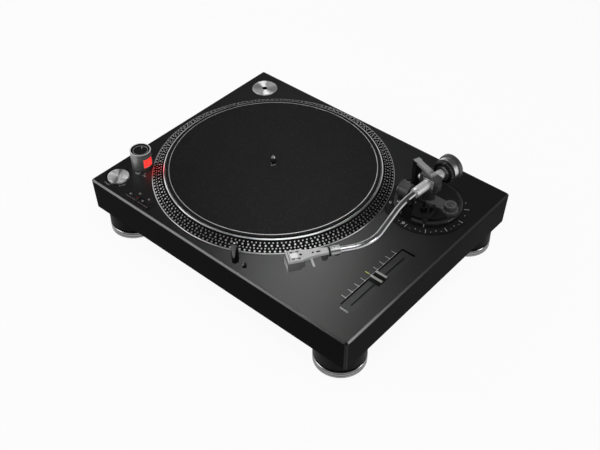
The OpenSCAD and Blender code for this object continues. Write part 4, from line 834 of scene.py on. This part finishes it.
def deck_print():
    """The tempo scale and the generic words on the deck."""
    build = Build()
    deck = at(0, 0, DECK)
    pitch, steps = 12.5, 4
    for k in range(-steps, steps + 1):
        y = FADER_Y + pitch * k
        build.bar(SCALE_X, 176.6, y - 0.3, y + 0.3, deck)
        build.bar(177.2, 178.3, y - 1.1, y + 1.1, deck)
    build.bar(177.85, 178.15, FADER_Y - pitch * steps, FADER_Y + pitch * steps, deck)
    for text, size, x, y in (("TEMPO", 4.0, 188.5, -135.5), ("33", 3.6, -150.7, -151.6),
                             ("45", 3.6, -133.0, -151.6), ("OFF", 3.6, -186.0, -125.6),
                             ("ON", 3.6, -174.2, -122.6)):
        build.words(text, size, at(x, y, DECK))
    for text, middle in (("START", -92), ("STOP", -26)):
        build.arc(text, 3.0, START, 20.4, middle, DECK)
    for x, y, turn in ((-184.0, -122.4, -66), (-176.8, -118.6, -32)):
        build.tick(1.3, 0.3, at(x, y, DECK, math.radians(turn)))
    build.piece("deck_print", "chassis", ["print_pale"], smooth=False)


def tempo_light():
    """The green light at the middle of the tempo scale."""
    build = Build()
    build.slab(rounded(5.4, 0.9, 0.4), -0.1, 0.3, at(SCALE_X, FADER_Y, DECK), chamfer=0.15)
    build.piece("tempo_light", "chassis", ["led_green"])


deck_print()
tempo_light()


# Arm: marks, screws and turned details

def flange_scale():
    """Printed height scale on the arm's mounting flange."""
    build = Build()
    for turn in (-117, -88, -58, -28, 1, 30):
        build.tick(3.4, 0.32, at(*polar(PIVOT, 51.5, turn), FLANGE_TOP, math.radians(turn)))
    for turn in (-102, -73, -43, -13, 16, 45):
        build.lathe([(0.62, 0), (0.62, PRINT)], n=20, matrix=at(*polar(PIVOT, 51.0, turn), FLANGE_TOP))
    for k in range(7):
        turn = -95.5 + 15 * k
        build.words(str(k), 2.4, at(*polar(PIVOT, 53.0, turn), FLANGE_TOP, math.radians(turn + 90)))
    build.piece("flange_scale", "chassis", ["print_pale"], smooth=False)


def ring_marks():
    """Fine scale on top of the height ring, and a pale index line on its side."""
    build = Build()
    for k in range(60):
        turn = 6 * k
        half = 1.1 if k % 5 == 0 else 0.55
        build.tick(half, 0.14, at(*polar(PIVOT, 43.2, turn), RING_TOP, math.radians(turn)))
    index_turn = -61.8
    here = (*polar(PIVOT, 45.5, index_turn), DECK + 5.4)
    index = frame_of(here, (0, 0, 1), (*polar((0, 0), 1, index_turn), 0))
    build.slab(rounded(5.0, 0.9, 0.3), -0.05, 0.06, index, mark=1)
    build.piece("ring_marks", "ring", ["print_dim", "print_pale"], smooth=False)


def arm_screws():
    """Screws in the arm base and in the mounting flange: place, height over the deck and radius."""
    base = ((129.1, 52.2, 12.0, 2.3), (145.8, 64.4, 12.0, 2.0))
    flange = ((152.4, 32.0, 1.8, 2.2), (110.9, 102.4, 1.8, 2.2), (115.6, 53.0, 1.8, 2.2))
    for name, body, turn, screws in (("base_screws", "arm_carrier", 0.5, base),
                                     ("flange_screws", "chassis", 0.3, flange)):
        build = Build()
        for x, y, z, r in screws:
            screw_head(build, at(x, y, DECK + z, turn), r, 1.3)
        build.piece(name, body, ["steel", "hole_shade_and_unlit_lamp"])


def skate_marks():
    """Ticks round the anti-skate knob, and a ring and a pointer on its top."""
    build = Build()
    for k in range(8):
        turn = -150 + 270 / 7 * k
        build.tick(0.6, 0.16, at(*polar(SKATE, 9.9, turn), DECK + 16.0, math.radians(turn)))
    build.piece("skate_scale", "arm_carrier", ["print_pale"], smooth=False)
    build = Build()
    knob_top = at(*SKATE, DECK + 22.7)
    build.lathe(flat_ring(6.9, 6.3, 0.05), matrix=knob_top, close=False)
    build.bar(1.5, 5.8, -0.35, 0.35, knob_top, 0.05)
    build.piece("skate_pointer", "anti_skate", ["print_dim"], smooth=False)


def arm_matrix(y):
    """Arm frame at a distance behind the pivot: z runs along the arm towards its back."""
    here = (PIVOT[0] + y * ARM_SIN, PIVOT[1] + y * ARM_COS, ARM_Z)
    return frame_of(here, (ARM_COS, -ARM_SIN, 0), (ARM_SIN, ARM_COS, 0))


def head_matrix(t, s=0.0, z=0.0, turn=0.0):
    """Head frame: x runs towards the headshell's front, y towards the finger lift."""
    d = Vector((*HEAD_DIR, 0))
    side = Vector((0, 0, 1)).cross(d)
    here = Vector((*HEAD_END, ARM_Z + z)) + d * t + side * s
    return frame_of(here, d, (0, 0, 1)) @ Matrix.Rotation(turn, 4, "Z")


def along_head(t):
    """Head frame whose z runs along the head, for turned pieces."""
    d = Vector((*HEAD_DIR, 0))
    return frame_of(Vector((*HEAD_END, ARM_Z)) + d * t, (0, 0, 1), d)


def shell_details():
    """The headshell's bright patch, its screws, its holes and front slit painted dark as painted shade, and the
    rubber washer behind it.
    """
    build = Build()
    patch = head_matrix(SHELL_FRONT - 8.6, 0, SHELL_TOP)
    build.slab(rounded(8.6, 8.2, 0.4), 0, 0.35, patch, chamfer=0.15)
    for s in (-5.8, 5.8):
        screw_head(build, head_matrix(SHELL_FRONT - 10.1, s, SHELL_TOP - 0.9, 0.4), 1.75, 1.2)
    build.tick(0.35, 8.6, head_matrix(SHELL_FRONT - 2.1, 0, SHELL_TOP - 0.02), 0.06, mark=1)
    for t, r in ((63.2, 1.75), (48.3, 1.35)):
        hole = [(r, -0.05), (r, 0.03), (r * 0.3, 0.04)]
        build.lathe(hole, n=32, mark=1, matrix=head_matrix(t, 0, SHELL_TOP))
    build.slab(rounded(5.4, 2.2, 0.8), -0.05, 0.04, head_matrix(41.5, 0, SHELL_TOP), mark=1)
    build.piece("shell_details", "tonearm", ["patch_silver", "hole_shade_and_unlit_lamp"])
    build = Build()
    washer = [(5.45, -0.05), (5.6, 0.3), (5.6, 1.8), (5.45, 2.15)]
    build.lathe(washer, n=48, matrix=along_head(27.35), close=False)
    build.piece("shell_washer", "tonearm", ["rubber"])


def collar_rings():
    """Rings and knurls of the headshell's locking collar."""
    build = Build()
    knurls = 40
    for t in (15.3, 17.5, 26.4):
        build.lathe(hoop(6.32, 0.32), matrix=along_head(t), close=False)
    for k in range(knurls):
        turn = Matrix.Rotation(2 * math.pi * k / knurls, 4, "Z")
        spot = along_head(22.0) @ turn @ Matrix.Translation((6.3, 0, 0))
        build.slab([(-0.1, -0.22), (0.16, -0.14), (0.16, 0.14), (-0.1, 0.22)], -3.4, 3.4, spot)
    build.piece("collar_rings", "collar", ["weight_silver"])


def cartridge_edge():
    """A bright strip across the cartridge's front: a painted highlight along its front edge."""
    build = Build()
    front = head_matrix(SHELL_FRONT + 1.02, 0, -13.5).to_translation()
    build.slab(rounded(17.0, 0.5, 0.2), 0, 8.5, frame_of(front, (-HEAD_DIR[1], HEAD_DIR[0], 0), (0, 0, 1)))
    build.piece("cartridge_edge", "tonearm", ["print_silver"])


def sleeve_rings():
    """Polished rings round the arm's sleeve, and the cap on the yoke's left pivot."""
    build = Build()
    for y in (-32.4, -29.8, -9.2, 20.8):
        build.lathe(hoop(6.52, 0.22), matrix=arm_matrix(y), close=False)
    build.piece("sleeve_rings", "tonearm", ["polished"])
    build = Build()
    out = 15.4
    here = (PIVOT[0] - out * ARM_COS, PIVOT[1] + out * ARM_SIN, ARM_Z)
    cap = [(3.6, 0), (3.6, 2.4), (3.3, 2.9), (1.9, 3.0), (1.6, 2.2)]
    build.lathe(cap, n=48, matrix=frame_of(here, (0, 0, 1), (-ARM_COS, ARM_SIN, 0)))
    build.piece("pivot_cap", "yoke", ["sleeve_silver"])


def swept_tube():
    """The arm's tube, skinned along its own bends."""
    bend, head = math.radians(15), math.radians(31.5)
    bend_r, head_r, run, head_run, tube_r = 170, 59, 40.6, 20, 4.25
    path = [(0.0, -3.5 - 6 * k, 0.0) for k in range(5)]
    for a in (bend * k / 18 for k in range(19)):
        path.append((bend_r * (1 - math.cos(a)), -33.5 - bend_r * math.sin(a), a))
    x, y, _ = path[-1]
    x, y = x + run * math.sin(bend), y - run * math.cos(bend)
    cx, cy = x - head_r * math.cos(bend), y - head_r * math.sin(bend)
    for a in (bend - (bend + head) * k / 30 for k in range(31)):
        path.append((cx + head_r * math.cos(a), cy + head_r * math.sin(a), a))
    x, y, a = path[-1]
    path.append((x + head_run * math.sin(a), y - head_run * math.cos(a), a))
    n, rings = 40, []
    for x, y, a in path:
        ring = []
        for i in range(n):
            b = 2 * math.pi * i / n
            u, w = tube_r * math.cos(b), tube_r * math.sin(b)
            px, py = x + u * math.cos(a), y + u * math.sin(a)
            ring.append((PIVOT[0] + px * ARM_COS + py * ARM_SIN, PIVOT[1] - px * ARM_SIN + py * ARM_COS, ARM_Z + w))
        rings.append(ring)
    build = Build()
    build.rings(rings)
    made = build.piece("swept_tube", "tonearm", ["arm_alu"])
    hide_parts("arm_tube")


def dial_figures():
    """Force scale on the rim of the dial."""
    build = Build()
    lines, end, figure = 40, 28.0, 29.2
    for k in range(lines):
        out = arm_matrix(0) @ Matrix.Rotation(2 * math.pi * k / lines, 4, "Z")
        start = 24.6 if k % 10 == 0 else (25.6 if k % 5 == 0 else 26.4)
        axis = out.to_3x3() @ Vector((1, 0, 0))
        along = out.to_3x3() @ Vector((0, 0, 1))
        rim = out.to_translation() + axis * DIAL_R
        build.tick((end - start) / 2, 0.13, frame_of(rim + along * ((start + end) / 2), along, axis), 0.04)
        if k % 10 == 0:
            build.words(str(k // 10), 2.0, frame_of(rim + along * figure, -axis.cross(along), axis))
    build.piece("dial_figures", "dial", ["print_pale"], smooth=False)


flange_scale()
ring_marks()
arm_screws()
skate_marks()
shell_details()
collar_rings()
cartridge_edge()
sleeve_rings()
swept_tube()
dial_figures()


# Controls: small details

def button_details():
    """Each speed button carries its number, a small lamp, and a glowing pale line along its front edge: a painted
    highlight.
    """
    # The 45 button's lamp is unlit and uses the dark finish that also paints shade in holes.
    for number, x, light in (("33", -153.6, "led_red"), ("45", -130.2, "hole_shade_and_unlit_lamp")):
        build = Build()
        top = at(x, -160.5, DECK + 1.4)
        build.words(number, 3.8, top @ Matrix.Translation((-5.6, 0.2, 0)))
        lens = top @ Matrix.Translation((7.6, 0.6, 0))
        build.slab(rounded(3.2, 3.6, 0.5), -0.02, 0.08, lens, mark=1, chamfer=0.05)
        build.slab(rounded(19.6, 0.55, 0.2), -0.02, 0.05, top @ Matrix.Translation((0, -4.9, 0)), mark=2)
        build.piece("print_" + number, "button_" + number, ["print_pale", light, "edge_highlight_pink"],
                    smooth=False)


def dial_ring():
    """Thin pale ring and pointer on the sunk top of the power dial."""
    build = Build()
    sunk_top = at(*PILLAR, DECK + 25.6)
    build.lathe(flat_ring(10.15, 9.75, 0.12), n=72, matrix=sunk_top, close=False)
    build.bar(4.5, 8.8, -0.4, 0.4, sunk_top @ Matrix.Rotation(2.1, 4, "Z"), 0.06)
    build.piece("dial_ring", "power_switch", ["print_pale"])


def lamp_window():
    """A small bright cap on the stylus lamp's tip: a painted highlight."""
    build = Build()
    build.lathe([(1.3, 0), (1.2, 0.12), (0.7, 0.22), (0.1, 0.25)], n=24, matrix=at(*LAMP, DECK + 30.0))
    build.piece("lamp_window", "lamp", ["lip_silver"])


def spindle_band():
    """Fine raised band round the spindle."""
    build = Build()
    build.lathe([(3.6, -0.3), (3.62, 0.0), (3.6, 0.3)], n=48, matrix=at(*PLATTER, DECK + 21.5), close=False)
    build.piece("spindle_band", "turning_platter", ["spindle_steel"])


button_details()
dial_ring()
lamp_window()
spindle_band()


# Back: plug rings, labels and screws

def on_back(x, z, out=0.0, along=1):
    """A place on the sunk terminal panel, facing backwards."""
    return frame_of((x, BACK + out, z), (along, 0, 0), (0, 1, 0))


def back_details():
    """Colour rings, labels and screws on the sunk terminal panel."""
    middle = 57
    build = Build()
    ring = [(6.4, -0.05), (6.4, 0.5), (6.0, 0.8), (4.6, 0.8), (4.4, 0.5), (4.4, -0.05)]
    for x, mark in ((-50, 0), (-32, 1)):
        build.lathe(ring, n=48, mark=mark, matrix=on_back(x, middle, 1.5), close=False)
    build.piece("jack_rings", "chassis", ["ring_white", "ring_red"])
    build = Build()
    for text, x, z, size in (("L", -58.6, middle, 3.4), ("R", -23.0, middle, 3.4), ("PHONO", -41, 47.4, 3.2),
                             ("GND", -8, 49.2, 3.0), ("AC IN", 14, middle, 3.2)):
        build.words(text, size, on_back(x, z, along=-1))
    build.piece("back_labels", "chassis", ["print_pale"], smooth=False)
    build = Build()
    for x, z in ((-66.5, 66), (66.5, 66), (-66.5, 48), (66.5, 48)):
        screw_head(build, on_back(x, z), 2.2, 1.2)
    for x in (28.5, 55.5):
        screw_head(build, on_back(x, middle, 2.0), 1.5, 0.8)
    build.piece("back_screws", "chassis", ["steel", "hole_shade_and_unlit_lamp"])


back_details()
